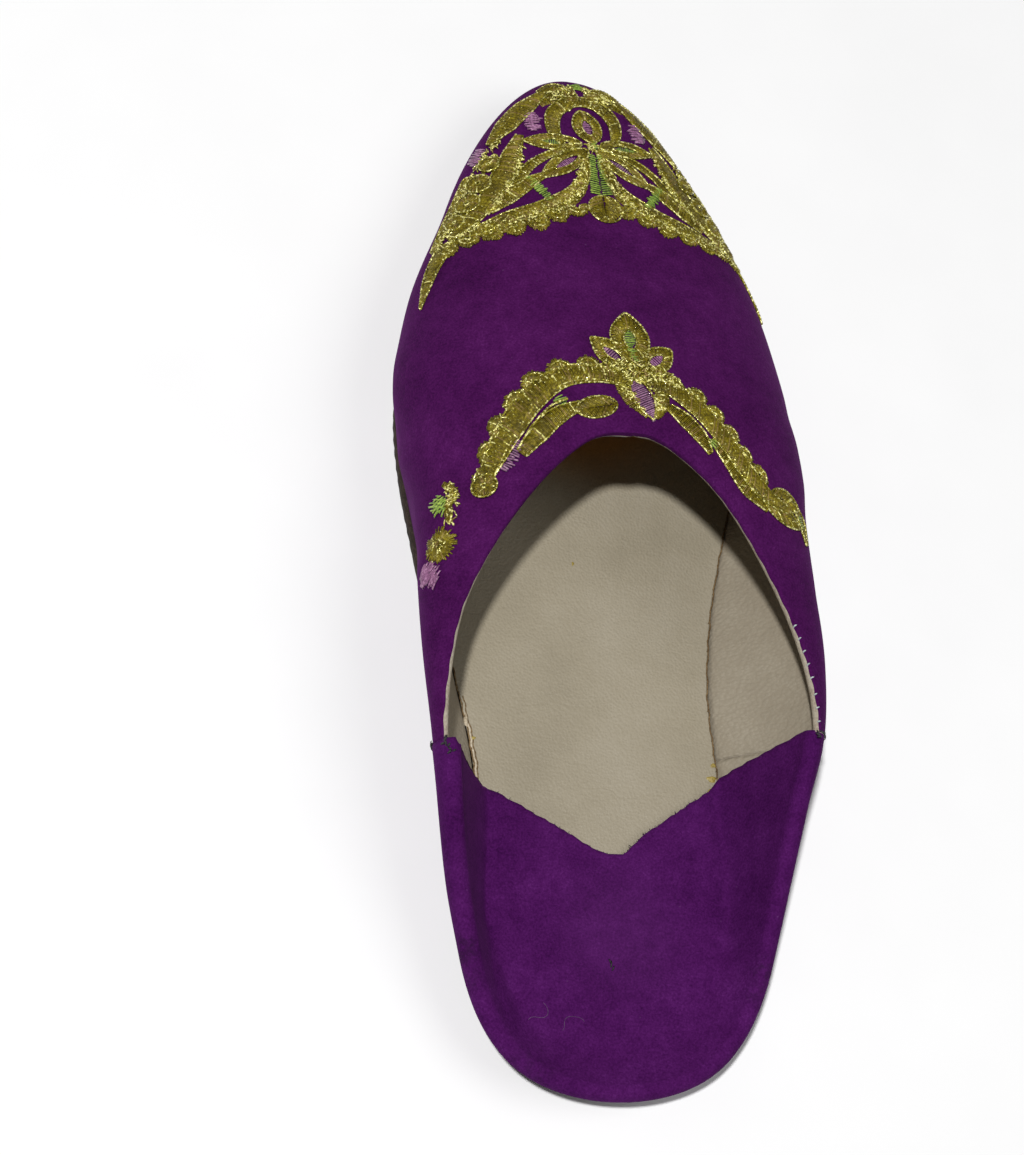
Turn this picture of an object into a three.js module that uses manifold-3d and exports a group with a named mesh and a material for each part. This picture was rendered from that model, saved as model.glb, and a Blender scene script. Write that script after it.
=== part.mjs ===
// A Moroccan babouche for the left foot: a backless slipper whose heel part is folded flat over the
// insole. Millimetres. +Y points to the toe, +X to the inner side of the foot, +Z up from the floor.
// The origin is on the floor under the middle of the slipper.
import * as THREE from "three";
import { mergeVertices } from "three/addons/utils/BufferGeometryUtils.js";
import Module from "manifold-3d";

const wasm = await Module();
wasm.setup();

// ---------------------------------------------------------------- driving sizes
const LENGTH = 252; // heel fold to toe tip, over the upper
const BALL_WIDTH = 98; // over the upper, where it is widest
const INSTEP_HEIGHT = 48; // floor to the front edge of the throat
const HEEL_HEIGHT = 13; // floor to where the folded back turns over, at the back of the heel
const SEAM_HEIGHT = 31.5; // and the same at the side seams
const SOLE_LENGTH = 247; // the sole stops a little inside the upper at both ends
const WALL = 2; // suede and lining together
const GAP = 0.3; // clearance where two pieces meet
const OUTSOLE_THICK = 2.6;
const INSOLE_THICK = 2.2;
const LEDGE = 0.8; // how far the outsole shows beyond the foot of the wall
const LIFT_BACK = 4.2; // height of the heel lift at its back
const LIFT_FRONT = 1.4; // and at its front edge
const LIFT_FRONT_Y = -30;
const LIFT_UNDERCUT = 2; // the lift tapers in towards the floor
const LIFT_LEDGE = 0.2; // the lift's top edge lies this far inside the outsole's
const TOE_SPRING = 5; // rise of the outsole at the toe tip
const FLAT_START_Y = -4; // the forefoot stands flat between these two
const FLAT_END_Y = 52;
const SPRING_POWER = 1.8; // how slowly the toe spring sets in
const WALL_POWER = 1.25; // 1 is a straight side wall; more stands steeper at the sole
const CROWN_POWER = 2.25; // 2 is an ellipse; more is squarer in the shoulders
const FOLD_RADIUS = 2.4; // outside radius of the fold along the heel rim
const SLOPE_POWER = 1.35; // how quickly the leather sinks from the fold to the crease
const SLOPE_RUN = 7; // least width of that slope at the heel, and at the seams
const SEAM_RUN = 3;
const FOLD_TURN = 128; // direction of the leather as it leaves the fold at the heel; 90 is level
const CREASE_INSET = 0.8; // the crease lies this far inside the insole's edge
const SEAM_Y = -49.5; // side seams, between upper and folded back, on the middle line
const SEAM_SKEW = 0.058; // the inner seam sits further forward than the outer one
const MIDDLE_SHIFT = 1.1; // the inner side is fuller, so the last's middle line lies this far outside
const TALL = 80; // higher than anything in the slipper
const TINY = 1e-6; // anything smaller counts as nothing
const WELD = 1e-4; // corners closer than this are one

// One row for each section of the last, "at" percent of the length from the heel. Half-widths are in
// percent of the ball width, and are those of a whole ellipse that would pass there: "out" on the outer
// side of the foot and "in" on the inner side, sole at the outsole's edge and wide at the upper's widest
// line. wideZ, that line's height, and crown, the arch above it, are in percent of the instep height.
// turn runs from 0 to 1 as the folded back climbs from the heel height to the seam height.
const LAST = [
  { at: 0, soleOut: 69, soleIn: 69, wideOut: 80, wideIn: 80, wideZ: 25, crown: 31, turn: 0 },
  { at: 5, soleOut: 59, soleIn: 61, wideOut: 66.5, wideIn: 67, wideZ: 27, crown: 31, turn: 0.05 },
  { at: 12, soleOut: 49.5, soleIn: 51.5, wideOut: 56, wideIn: 57, wideZ: 33, crown: 31, turn: 0.22 },
  { at: 18, soleOut: 42, soleIn: 44.5, wideOut: 52, wideIn: 52.7, wideZ: 41, crown: 31, turn: 0.46 },
  { at: 25, soleOut: 35.5, soleIn: 38.5, wideOut: 49.2, wideIn: 51.3, wideZ: 51, crown: 31.5, turn: 0.78 },
  { at: 31, soleOut: 33.7, soleIn: 34.5, wideOut: 48, wideIn: 52.5, wideZ: 56.5, crown: 33, turn: 1 },
  { at: 38, soleOut: 35.5, soleIn: 32, wideOut: 46.8, wideIn: 51.8, wideZ: 56, crown: 37, turn: 1 },
  { at: 45, soleOut: 38, soleIn: 33.5, wideOut: 45.8, wideIn: 50.5, wideZ: 52, crown: 44, turn: 1 },
  { at: 52, soleOut: 41, soleIn: 37.5, wideOut: 45.2, wideIn: 50.2, wideZ: 46, crown: 54, turn: 1 },
  { at: 58, soleOut: 44, soleIn: 42, wideOut: 47.5, wideIn: 51.2, wideZ: 40.5, crown: 61, turn: 1 },
  { at: 65, soleOut: 46.5, soleIn: 46.2, wideOut: 50.5, wideIn: 51.4, wideZ: 35.5, crown: 61, turn: 1 },
  { at: 74, soleOut: 46.5, soleIn: 48.3, wideOut: 49.8, wideIn: 51.8, wideZ: 31, crown: 56, turn: 1 },
  { at: 82, soleOut: 44.5, soleIn: 48, wideOut: 46.8, wideIn: 50.5, wideZ: 29, crown: 51, turn: 1 },
  { at: 90, soleOut: 43, soleIn: 46, wideOut: 45.5, wideIn: 48.3, wideZ: 29, crown: 47, turn: 1 },
  { at: 100, soleOut: 39, soleIn: 43, wideOut: 43, wideIn: 46.5, wideZ: 31, crown: 41, turn: 1 },
];

// The edge of the throat: half-widths on the two sides of the foot, from the collar to its front.
const THROAT = [
  { y: -58, out: 40.5, in: 43.5 },
  { y: -50, out: 42.2, in: 45.3 },
  { y: -36, out: 41.2, in: 43.5 },
  { y: -22, out: 38, in: 38 },
  { y: -8, out: 31, in: 29.5 },
  { y: 4, out: 22, in: 20.2 },
  { y: 12, out: 13.5, in: 10.8 },
  { y: 15.2, out: 7.5, in: 4.8 },
  { y: 16, out: 0, in: 0 },
];

// The front edge of the folded back in plan, a wide V that points to the heel.
const FOLD_EDGE = [
  { x: -60, y: -50 },
  { x: -43, y: -52 },
  { x: -27, y: -56 },
  { x: -12, y: -63.5 },
  { x: -3, y: -68.6 },
  { x: 1.5, y: -70.4 },
  { x: 5.5, y: -69.8 },
  { x: 10, y: -65.8 },
  { x: 18, y: -60.3 },
  { x: 26, y: -55 },
  { x: 31, y: -50.5 },
  { x: 44, y: -45.5 },
  { x: 60, y: -41 },
];

// ---------------------------------------------------------------- curves along the last
const rad = THREE.MathUtils.degToRad;
const lerp = THREE.MathUtils.lerp;
const smooth = (t) => THREE.MathUtils.smoothstep(t, 0, 1);
const stationY = (percent) => (percent / 100 - 0.5) * LENGTH;

// A smooth curve through one column of the table, by cubic Hermite pieces, in units of one size.
function along(column, unit) {
  const rows = LAST.map((row) => ({ y: stationY(row.at), value: row[column] * unit }));
  const last = rows.length - 1;
  const slope = rows.map((row, i) => {
    const before = rows[Math.max(0, i - 1)];
    const after = rows[Math.min(last, i + 1)];
    return (after.value - before.value) / (after.y - before.y);
  });
  return (y) => {
    const at = THREE.MathUtils.clamp(y, rows[0].y, rows[last].y);
    const i = Math.max(0, rows.findIndex((row) => row.y >= at) - 1);
    const span = rows[i + 1].y - rows[i].y;
    const t = (at - rows[i].y) / span;
    const rise = lerp(rows[i].value, rows[i + 1].value, 3 * t ** 2 - 2 * t ** 3);
    const lean = (t ** 3 - 2 * t ** 2 + t) * slope[i] + (t ** 3 - t ** 2) * slope[i + 1];
    return rise + lean * span;
  };
}

const soleWidth = { "-1": along("soleOut", BALL_WIDTH / 100), 1: along("soleIn", BALL_WIDTH / 100) };
const upperWidth = { "-1": along("wideOut", BALL_WIDTH / 100), 1: along("wideIn", BALL_WIDTH / 100) };
const wideZ = along("wideZ", INSTEP_HEIGHT / 100);
const crown = along("crown", INSTEP_HEIGHT / 100);
const turnRise = along("turn", SEAM_HEIGHT - HEEL_HEIGHT);
const turnZ = (y) => HEEL_HEIGHT + turnRise(y);

const ANGLE_STEP = 0.5; // directions along a curve are measured over this, in degrees
const SHARE_STEP = 0.01; // and over this, up a section

// A plan outline: the ellipse angle a runs from 0 at the heel to 180 at the toe, side is -1 or 1.
// inset moves the point square to the outline, towards the foot.
function outline(width, length, a, side, inset) {
  const at = (angle) => {
    const y = (-length / 2) * Math.cos(rad(angle));
    return new THREE.Vector2(side * width[side](y) * Math.sin(rad(angle)), y);
  };
  const point = at(a);
  if (a <= 0 || a >= 180) return point.set(0, point.y - Math.sign(point.y) * inset);
  const tangent = at(Math.min(a + ANGLE_STEP, 180)).sub(at(Math.max(a - ANGLE_STEP, 0))).normalize();
  return point.addScaledVector(new THREE.Vector2(-tangent.y * side, tangent.x * side), inset);
}
const soleRing = (a, side, inset) => outline(soleWidth, SOLE_LENGTH, a, side, inset);
const wideRing = (a, side, inset) => outline(upperWidth, LENGTH, a, side, inset);
const angleAt = (y) => THREE.MathUtils.radToDeg(Math.acos((-2 * y) / LENGTH));

// Underside of the outsole: on the heel lift, then down to the floor, then up at the toe.
function soleBottom(y) {
  if (y < LIFT_FRONT_Y) {
    return lerp(LIFT_FRONT, LIFT_BACK, (LIFT_FRONT_Y - y) / (LIFT_FRONT_Y + SOLE_LENGTH / 2));
  }
  if (y < FLAT_START_Y) {
    return LIFT_FRONT * (1 - smooth((y - LIFT_FRONT_Y) / (FLAT_START_Y - LIFT_FRONT_Y)));
  }
  return TOE_SPRING * Math.max(0, (y - FLAT_END_Y) / (SOLE_LENGTH / 2 - FLAT_END_Y)) ** SPRING_POWER;
}
const soleTop = (y) => soleBottom(y) + OUTSOLE_THICK;
const footZ = (y) => soleTop(y) + GAP; // where wall and insole stand on the outsole
const insoleTop = (y) => footZ(y) + INSOLE_THICK;
const flapTop = (y) => insoleTop(y) + GAP + WALL;

// ---------------------------------------------------------------- solids from sections
function solidFrom(positions) {
  const loose = new THREE.BufferGeometry();
  loose.setAttribute("position", new THREE.Float32BufferAttribute(positions, 3));
  const merged = mergeVertices(loose, WELD);
  const index = merged.index.array;
  const kept = [];
  for (let i = 0; i < index.length; i += 3) {
    const [a, b, c] = [index[i], index[i + 1], index[i + 2]];
    if (a !== b && b !== c && c !== a) kept.push(a, b, c);
  }
  const mesh = new wasm.Mesh({
    numProp: 3,
    vertProperties: new Float32Array(merged.attributes.position.array),
    triVerts: new Uint32Array(kept),
  });
  return new wasm.Manifold(mesh);
}

// A solid through closed sections, each a list of points from the outer side of the foot over the top
// to the inner side. A section that has closed up to a line needs no cap.
function loft(sections) {
  const positions = [];
  const face = (...points) => points.forEach((p) => positions.push(p.x, p.y, p.z));
  for (let i = 0; i + 1 < sections.length; i++) {
    const [here, next] = [sections[i], sections[i + 1]];
    here.forEach((p, j) => {
      const k = (j + 1) % here.length;
      face(p, next[j], next[k]);
      face(p, next[k], here[k]);
    });
  }
  // A section's triangles, with their corners in the section's own order or against it.
  const cap = (section, against) => {
    const inMiddlePlane = Math.max(...section.map((p) => Math.abs(p.x))) < TINY;
    const flat = section.map((p) => new THREE.Vector2(inMiddlePlane ? p.y : p.x, p.z));
    if (Math.abs(THREE.ShapeUtils.area(flat)) < TINY) return;
    THREE.ShapeUtils.triangulateShape(flat, []).forEach((corners) => {
      const [a, b, c] = corners.sort((m, n) => m - n);
      if (against) face(section[a], section[c], section[b]);
      else face(section[a], section[b], section[c]);
    });
  };
  cap(sections[0], false);
  cap(sections[sections.length - 1], true);
  const solid = solidFrom(positions);
  return solid.volume() < 0 ? solidFrom(reversed(positions)) : solid;
}

function reversed(positions) {
  const turned = [];
  for (let i = 0; i < positions.length; i += 9) {
    turned.push(...positions.slice(i, i + 3), ...positions.slice(i + 6, i + 9));
    turned.push(...positions.slice(i + 3, i + 6));
  }
  return turned;
}

// A closed section from one half, given from the feather edge to the middle line.
function bothSides(half) {
  const out = half(-1);
  const inner = half(1);
  return [...out, ...inner.slice(0, -1).reverse()];
}

// An upright prism over a plan outline.
function prism(points, low, high) {
  const shape = new THREE.Shape(points);
  const body = new THREE.ExtrudeGeometry(shape, { depth: high - low, bevelEnabled: false });
  body.translate(0, 0, low);
  return solidFrom(body.attributes.position.array);
}

const plan = (rows) => rows.map((row) => new THREE.Vector2(row.x, row.y));

const angles = (from, to, count) =>
  Array.from({ length: count + 1 }, (unused, i) => from + ((to - from) * i) / count);

// ---------------------------------------------------------------- the upper
const WALL_STEPS = 5;
const CROWN_STEPS = 8;
const RIM_STATIONS = 28; // sections along the throat's edge
const TOE_STATIONS = 18; // and ahead of it

// A point on the side wall: u runs from 0 at the sole to 1 at the widest line.
function wallPoint(a, side, u, inset) {
  const foot = soleRing(a, side, LEDGE + inset);
  const wide = wideRing(a, side, inset);
  const p = foot.clone().lerp(wide, Math.sin(rad(90 * u)));
  const z = lerp(footZ(foot.y), wideZ(wide.y), 1 - (1 - u) ** WALL_POWER);
  return new THREE.Vector3(p.x, p.y, z);
}

// A point on the arch over the foot: t runs from 0 at the widest line to 1 on the middle line.
function crownPoint(a, side, t) {
  const wide = wideRing(a, side, 0);
  const x = t >= 1 ? 0 : wide.x * Math.cos(rad(90 * t)) ** (2 / CROWN_POWER);
  const rise = crown(wide.y) * Math.sin(rad(a)) * Math.sin(rad(90 * t)) ** (2 / CROWN_POWER);
  return new THREE.Vector3(x, wide.y, wideZ(wide.y) + rise);
}

// The outside of the upper: s runs from 0 to 1 up the wall, and from 1 to 2 over the arch.
const surface = (a, side, s) => (s < 1 ? wallPoint(a, side, s, 0) : crownPoint(a, side, s - 1));

// Its outward direction, from the two directions along it.
function outward(a, side, s) {
  if (a >= 180 && s >= 1) return new THREE.Vector3(0, 1, 0);
  const [before, after] = [Math.max(a - ANGLE_STEP, 0), Math.min(a + ANGLE_STEP, 180)];
  const [lower, upper] = [Math.max(s - SHARE_STEP, 0), Math.min(s + SHARE_STEP, 2)];
  const forward = surface(after, side, s).sub(surface(before, side, s));
  const upward = surface(a, side, upper).sub(surface(a, side, lower));
  if (s >= 2) upward.set(-side, 0, 0);
  const direction = forward.cross(upward).multiplyScalar(side);
  if (s >= 2 || a >= 180) direction.x = 0;
  return direction.normalize();
}

// How far up the arch the leather runs: to the throat's edge, or right over ahead of it.
function archEnd(a, side, halfWidth) {
  const share = halfWidth / Math.abs(wideRing(a, side, 0).x);
  return 1 + Math.acos(share ** (CROWN_POWER / 2)) / rad(90);
}

// One section of one side of the shell, round its thickness: up the outside and down the inside.
function shellSection(a, side, end) {
  const steps = [];
  for (let i = 0; i < WALL_STEPS; i++) steps.push(i / WALL_STEPS);
  for (let i = 0; i <= CROWN_STEPS; i++) steps.push(lerp(1, end, i / CROWN_STEPS));
  const outside = steps.map((s) => surface(a, side, s));
  const inside = steps.map((s, i) => outside[i].clone().addScaledVector(outward(a, side, s), -WALL));
  const foot = inside[0].clone().setZ(outside[0].z);
  return [...outside, ...inside.reverse(), foot];
}

// One side of the shell. Behind the throat's front its sections end at the rim.
function halfShell(side) {
  const column = side < 0 ? "out" : "in";
  const rim = new THREE.SplineCurve(THROAT.map((row) => new THREE.Vector2(row[column], row.y)));
  const open = rim.getPoints(RIM_STATIONS).map((p) => {
    const a = angleAt(p.y);
    return shellSection(a, side, archEnd(a, side, p.x));
  });
  const closed = angles(angleAt(THROAT[THROAT.length - 1].y), 180, TOE_STATIONS).slice(1);
  return loft([...open, ...closed.map((a) => shellSection(a, side, 2))]);
}

// A block on the toe side (1) or the heel side (-1) of the side seams.
function besideSeam(direction) {
  const far = direction * LENGTH;
  const edge = (x) => SEAM_Y + SEAM_SKEW * x + (direction * GAP) / 2;
  const corners = [
    { x: -LENGTH, y: edge(-LENGTH) },
    { x: LENGTH, y: edge(LENGTH) },
    { x: LENGTH, y: far },
    { x: -LENGTH, y: far },
  ];
  return prism(plan(corners), -TALL, TALL);
}

const makeUpper = () => halfShell(-1).add(halfShell(1)).intersect(besideSeam(1));

// ---------------------------------------------------------------- the folded back
const SIDE_STEPS = 3;
const FOLD_STEPS = 5;
const SLOPE_STEPS = 4;
const FLAT_STEPS = 2;
const FOLD_STATIONS = 24;
const FOLD_END = 74; // angle just ahead of the side seams
const EDGE_STEPS = 40;
const HEEL_ARCH = 0.5; // the least share of the arch's curve that is left round the heel
const BELOW = 4; // a cutter runs on this far under the leather

// Inset and height of the folded leather in one section: up the side, over the rim and down to the
// crease, where it reaches the insole.
function foldPath(a, side) {
  const wide = wideRing(a, side, 0);
  const scale = Math.max(Math.sin(rad(a)), HEEL_ARCH);
  const [across, high] = [upperWidth[side](wide.y) * scale, crown(wide.y) * scale];
  const start = turnZ(wide.y) - wideZ(wide.y);
  const sideInset = (z) => across * (1 - (1 - (z / high) ** CROWN_POWER) ** (1 / CROWN_POWER));
  const path = [];
  for (let i = 0; i <= SIDE_STEPS; i++) {
    const z = (start * i) / SIDE_STEPS;
    path.push(new THREE.Vector2(sideInset(z), wideZ(wide.y) + z));
  }
  const turn = path[path.length - 1];
  const share = turnRise(wide.y) / (SEAM_HEIGHT - HEEL_HEIGHT);
  const leave = rad(lerp(FOLD_TURN, 180, share));
  const lean = Math.atan2(sideInset(start) - sideInset(start - SHARE_STEP), SHARE_STEP);
  const inward = new THREE.Vector2(Math.cos(lean), -Math.sin(lean));
  const middle = turn.clone().addScaledVector(inward, FOLD_RADIUS);
  for (let i = 1; i <= FOLD_STEPS; i++) {
    const angle = lerp(lean, leave, i / FOLD_STEPS);
    path.push(new THREE.Vector2(-Math.cos(angle), Math.sin(angle)).multiplyScalar(FOLD_RADIUS).add(middle));
  }
  const top = path[path.length - 1];
  const insoleEdge = soleRing(a, side, LEDGE + WALL + GAP);
  const run = lerp(SLOPE_RUN, SEAM_RUN, share);
  const reach = Math.max(wide.distanceTo(insoleEdge) + CREASE_INSET, top.x + run);
  const low = flapTop(wideRing(a, side, reach).y);
  for (let i = 1; i <= SLOPE_STEPS; i++) {
    const q = i / SLOPE_STEPS;
    path.push(new THREE.Vector2(lerp(top.x, reach, q), low + (top.y - low) * (1 - q) ** SLOPE_POWER));
  }
  return path;
}

// The same path moved square to itself by the leather's thickness.
function thickened(path, thickness) {
  return path.map((p, i) => {
    const before = path[Math.max(0, i - 1)];
    const after = path[Math.min(path.length - 1, i + 1)];
    const tangent = after.clone().sub(before).normalize();
    if (i === 0) tangent.set(0, 1);
    if (i === path.length - 1) tangent.set(1, 0);
    return new THREE.Vector2(p.x + tangent.y * thickness, p.y - tangent.x * thickness);
  });
}

const below = (p) => p.clone().add(new THREE.Vector3(0, 0, -BELOW));

function foldedHalf(a, inset) {
  return (side) => {
    const points = inset > 0 ? [below(wallPoint(a, side, 0, inset))] : [];
    for (let i = 0; i < WALL_STEPS; i++) points.push(wallPoint(a, side, i / WALL_STEPS, inset));
    thickened(foldPath(a, side), inset).forEach((p) => {
      const at = wideRing(a, side, p.x);
      points.push(new THREE.Vector3(at.x, at.y, p.y));
    });
    const crease = points[points.length - 1];
    for (let i = 1; i <= FLAT_STEPS; i++) {
      points.push(new THREE.Vector3(crease.x * (1 - i / FLAT_STEPS), crease.y, crease.z));
    }
    return points;
  };
}

// Everything inside the inner face of the wall, up past the rim.
function insideHalf(a) {
  return (side) => {
    const points = [below(wallPoint(a, side, 0, WALL))];
    for (let i = 0; i < WALL_STEPS; i++) points.push(wallPoint(a, side, i / WALL_STEPS, WALL));
    thickened(foldPath(a, side), WALL).slice(0, SIDE_STEPS + 1).forEach((p) => {
      const at = wideRing(a, side, p.x);
      points.push(new THREE.Vector3(at.x, at.y, p.y));
    });
    const last = points[points.length - 1];
    points.push(new THREE.Vector3(last.x, last.y, TALL), new THREE.Vector3(0, last.y, TALL));
    return points;
  };
}

function makeFoldedBack() {
  const stations = angles(0, FOLD_END, FOLD_STATIONS);
  const outside = loft(stations.map((a) => bothSides(foldedHalf(a, 0))));
  const hollow = loft(stations.map((a) => bothSides(foldedHalf(a, WALL))));
  const inside = loft(stations.map((a) => bothSides(insideHalf(a))));
  const edge = new THREE.SplineCurve(plan(FOLD_EDGE)).getPoints(EDGE_STEPS);
  const ahead = [...edge, new THREE.Vector2(LENGTH, 0), new THREE.Vector2(-LENGTH, 0)];
  const front = prism(ahead, -TALL, TALL).intersect(inside);
  return outside.subtract(hollow).subtract(front).intersect(besideSeam(-1));
}

// ---------------------------------------------------------------- sole, lift and insole
// A plate that follows the sole: edge inset and height at its bottom and top.
function plate(stations, low, high) {
  const half = (a) => (side) => {
    const at = ({ inset, z }) => {
      const p = soleRing(a, side, inset);
      return new THREE.Vector3(p.x, p.y, z(p.y));
    };
    const rows = [...low, ...high];
    const middle = (row) => {
      const p = at(row);
      return new THREE.Vector3(0, p.y, p.z);
    };
    return [middle(low[0]), ...rows.map(at), middle(high[high.length - 1])];
  };
  return loft(stations.map((a) => closedPlate(half(a))));
}

// Both halves of a plate's section: along the bottom and round the edge on each side.
function closedPlate(half) {
  const out = half(-1);
  const inner = half(1);
  return [...out, ...inner.slice(1, -1).reverse()];
}

const EDGE_ROUND = 0.7;
const SOLE_STATIONS = 60;
const LIFT_STATIONS = 32;
const LIFT_END = 80; // angle just ahead of the lift's front edge

function makeOutsole() {
  const low = [
    { inset: EDGE_ROUND, z: soleBottom },
    { inset: 0, z: (y) => soleBottom(y) + EDGE_ROUND },
  ];
  const high = [
    { inset: 0, z: (y) => soleTop(y) - EDGE_ROUND / 2 },
    { inset: EDGE_ROUND / 2, z: soleTop },
  ];
  return plate(angles(0, 180, SOLE_STATIONS), low, high);
}

function makeInsole() {
  const edge = LEDGE + WALL + GAP;
  const low = [{ inset: edge, z: (y) => soleTop(y) + GAP }];
  const high = [
    { inset: edge, z: (y) => insoleTop(y) - EDGE_ROUND },
    { inset: edge + EDGE_ROUND, z: insoleTop },
  ];
  return plate(angles(0, 180, SOLE_STATIONS), low, high);
}

function makeHeelLift() {
  const low = [{ inset: LIFT_UNDERCUT, z: () => 0 }];
  const high = [{ inset: LIFT_LEDGE, z: (y) => soleBottom(y) - GAP }];
  const block = plate(angles(0, LIFT_END, LIFT_STATIONS), low, high);
  const keep = prism(plan([
    { x: -LENGTH, y: -LENGTH },
    { x: LENGTH, y: -LENGTH },
    { x: LENGTH, y: LIFT_FRONT_Y },
    { x: -LENGTH, y: LIFT_FRONT_Y },
  ]), -TALL, TALL);
  return block.intersect(keep);
}

// ---------------------------------------------------------------- the slipper
function geometryOf(solid) {
  const { numProp, vertProperties, triVerts } = solid.getMesh();
  const position = new Float32Array((vertProperties.length / numProp) * 3);
  for (let i = 0; i * numProp < vertProperties.length; i++) {
    position.set(vertProperties.subarray(i * numProp, i * numProp + 3), i * 3);
  }
  const geometry = new THREE.BufferGeometry();
  geometry.setAttribute("position", new THREE.BufferAttribute(position, 3));
  geometry.setIndex(new THREE.BufferAttribute(triVerts, 1));
  geometry.computeVertexNormals();
  return geometry;
}

const PURPLE_SUEDE = { color: 0x4a1458, roughness: 0.95, metalness: 0 };
const CREAM_LEATHER = { color: 0xc8bca4, roughness: 0.6, metalness: 0 };
const BROWN_LEATHER = { color: 0x2e241d, roughness: 0.7, metalness: 0 };
const BROWN_RUBBER = { color: 0x2a211b, roughness: 0.8, metalness: 0 };

function piece(name, solid, look) {
  const mesh = new THREE.Mesh(geometryOf(solid), new THREE.MeshStandardMaterial(look));
  mesh.name = name;
  return mesh;
}

const babouche = new THREE.Group();
babouche.add(
  piece("outsole", makeOutsole(), BROWN_LEATHER),
  piece("heel_lift", makeHeelLift(), BROWN_RUBBER),
  piece("insole", makeInsole(), CREAM_LEATHER),
  piece("upper", makeUpper(), PURPLE_SUEDE),
  piece("folded_back", makeFoldedBack(), PURPLE_SUEDE),
);
babouche.position.x = -MIDDLE_SHIFT;

export default babouche;
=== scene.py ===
"""A babouche slipper for the left foot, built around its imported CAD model.

Sizes are worked out in millimetres in the last's own frame, as the CAD part does, and turned into
metres where a mesh is made.
"""
import math

import bmesh
import bpy
import numpy as np
from mathutils import Matrix, Vector


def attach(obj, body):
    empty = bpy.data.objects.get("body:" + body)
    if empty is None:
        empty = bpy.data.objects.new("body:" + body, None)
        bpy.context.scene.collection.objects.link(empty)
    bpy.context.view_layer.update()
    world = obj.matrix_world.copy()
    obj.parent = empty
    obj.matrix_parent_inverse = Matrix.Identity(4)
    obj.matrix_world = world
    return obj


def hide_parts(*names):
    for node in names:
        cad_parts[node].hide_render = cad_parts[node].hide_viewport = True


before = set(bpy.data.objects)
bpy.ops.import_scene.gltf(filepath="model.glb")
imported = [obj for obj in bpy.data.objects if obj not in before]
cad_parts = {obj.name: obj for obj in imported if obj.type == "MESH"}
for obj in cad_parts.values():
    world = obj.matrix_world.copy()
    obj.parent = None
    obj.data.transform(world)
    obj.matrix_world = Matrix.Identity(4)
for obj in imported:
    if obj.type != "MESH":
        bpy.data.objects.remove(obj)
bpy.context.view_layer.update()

MM = 0.001
random = np.random.default_rng(37)

# ------------------------------------------------------------------ the last, in millimetres
LENGTH = 252
BALL_WIDTH = 98
INSTEP_HEIGHT = 48
HEEL_HEIGHT = 13
SEAM_HEIGHT = 31.5
SOLE_LENGTH = 247
WALL = 2
GAP = 0.3
OUTSOLE_THICK = 2.6
INSOLE_THICK = 2.2
LEDGE = 0.8
LIFT_BACK = 4.2
LIFT_FRONT = 1.4
LIFT_FRONT_Y = -30
TOE_SPRING = 5
FLAT_START_Y = -4
FLAT_END_Y = 52
CROWN_POWER = 2.25
FOLD_RADIUS = 2.4
FOLD_TURN = 128  # direction of the leather as it leaves the fold at the heel, 90 is level
SLOPE_RUN, SEAM_RUN, SLOPE_POWER, CREASE_INSET = 7, 3, 1.35, 0.8
SEAM_Y = -49.5
SEAM_SKEW = 0.058
MIDDLE_SHIFT = 1.1
HEEL_ARCH = 0.5
TOE_POWER, WALL_POWER = 1.8, 1.25

# A row for each section: percent of the length from the heel, half-widths in percent of the ball
# width on the outer and inner side of the foot, heights in percent of the instep height.
COLUMNS = ("at", "soleOut", "soleIn", "wideOut", "wideIn", "wideZ", "crown", "turn")
LAST = [
    (0, 69, 69, 80, 80, 25, 31, 0),
    (5, 59, 61, 66.5, 67, 27, 31, 0.05),
    (12, 49.5, 51.5, 56, 57, 33, 31, 0.22),
    (18, 42, 44.5, 52, 52.7, 41, 31, 0.46),
    (25, 35.5, 38.5, 49.2, 51.3, 51, 31.5, 0.78),
    (31, 33.7, 34.5, 48, 52.5, 56.5, 33, 1),
    (38, 35.5, 32, 46.8, 51.8, 56, 37, 1),
    (45, 38, 33.5, 45.8, 50.5, 52, 44, 1),
    (52, 41, 37.5, 45.2, 50.2, 46, 54, 1),
    (58, 44, 42, 47.5, 51.2, 40.5, 61, 1),
    (65, 46.5, 46.2, 50.5, 51.4, 35.5, 61, 1),
    (74, 46.5, 48.3, 49.8, 51.8, 31, 56, 1),
    (82, 44.5, 48, 46.8, 50.5, 29, 51, 1),
    (90, 43, 46, 45.5, 48.3, 29, 47, 1),
    (100, 39, 43, 43, 46.5, 31, 41, 1),
]

# The edge of the throat: y, then half-widths on the outer and inner side of the foot.
THROAT = [
    (-58, 40.5, 43.5),
    (-50, 42.2, 45.3),
    (-36, 41.2, 43.5),
    (-22, 38, 38),
    (-8, 31, 29.5),
    (4, 22, 20.2),
    (12, 13.5, 10.8),
    (15.2, 7.5, 4.8),
    (16, 0, 0),
]

# The front edge of the folded back, as x and y: a wide V that points to the heel.
FOLD_EDGE = [
    (-60, -50), (-43, -52), (-27, -56), (-12, -63.5), (-3, -68.6), (1.5, -70.4),
    (5.5, -69.8), (10, -65.8), (18, -60.3), (26, -55), (31, -50.5), (44, -45.5), (60, -41),
]


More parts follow.
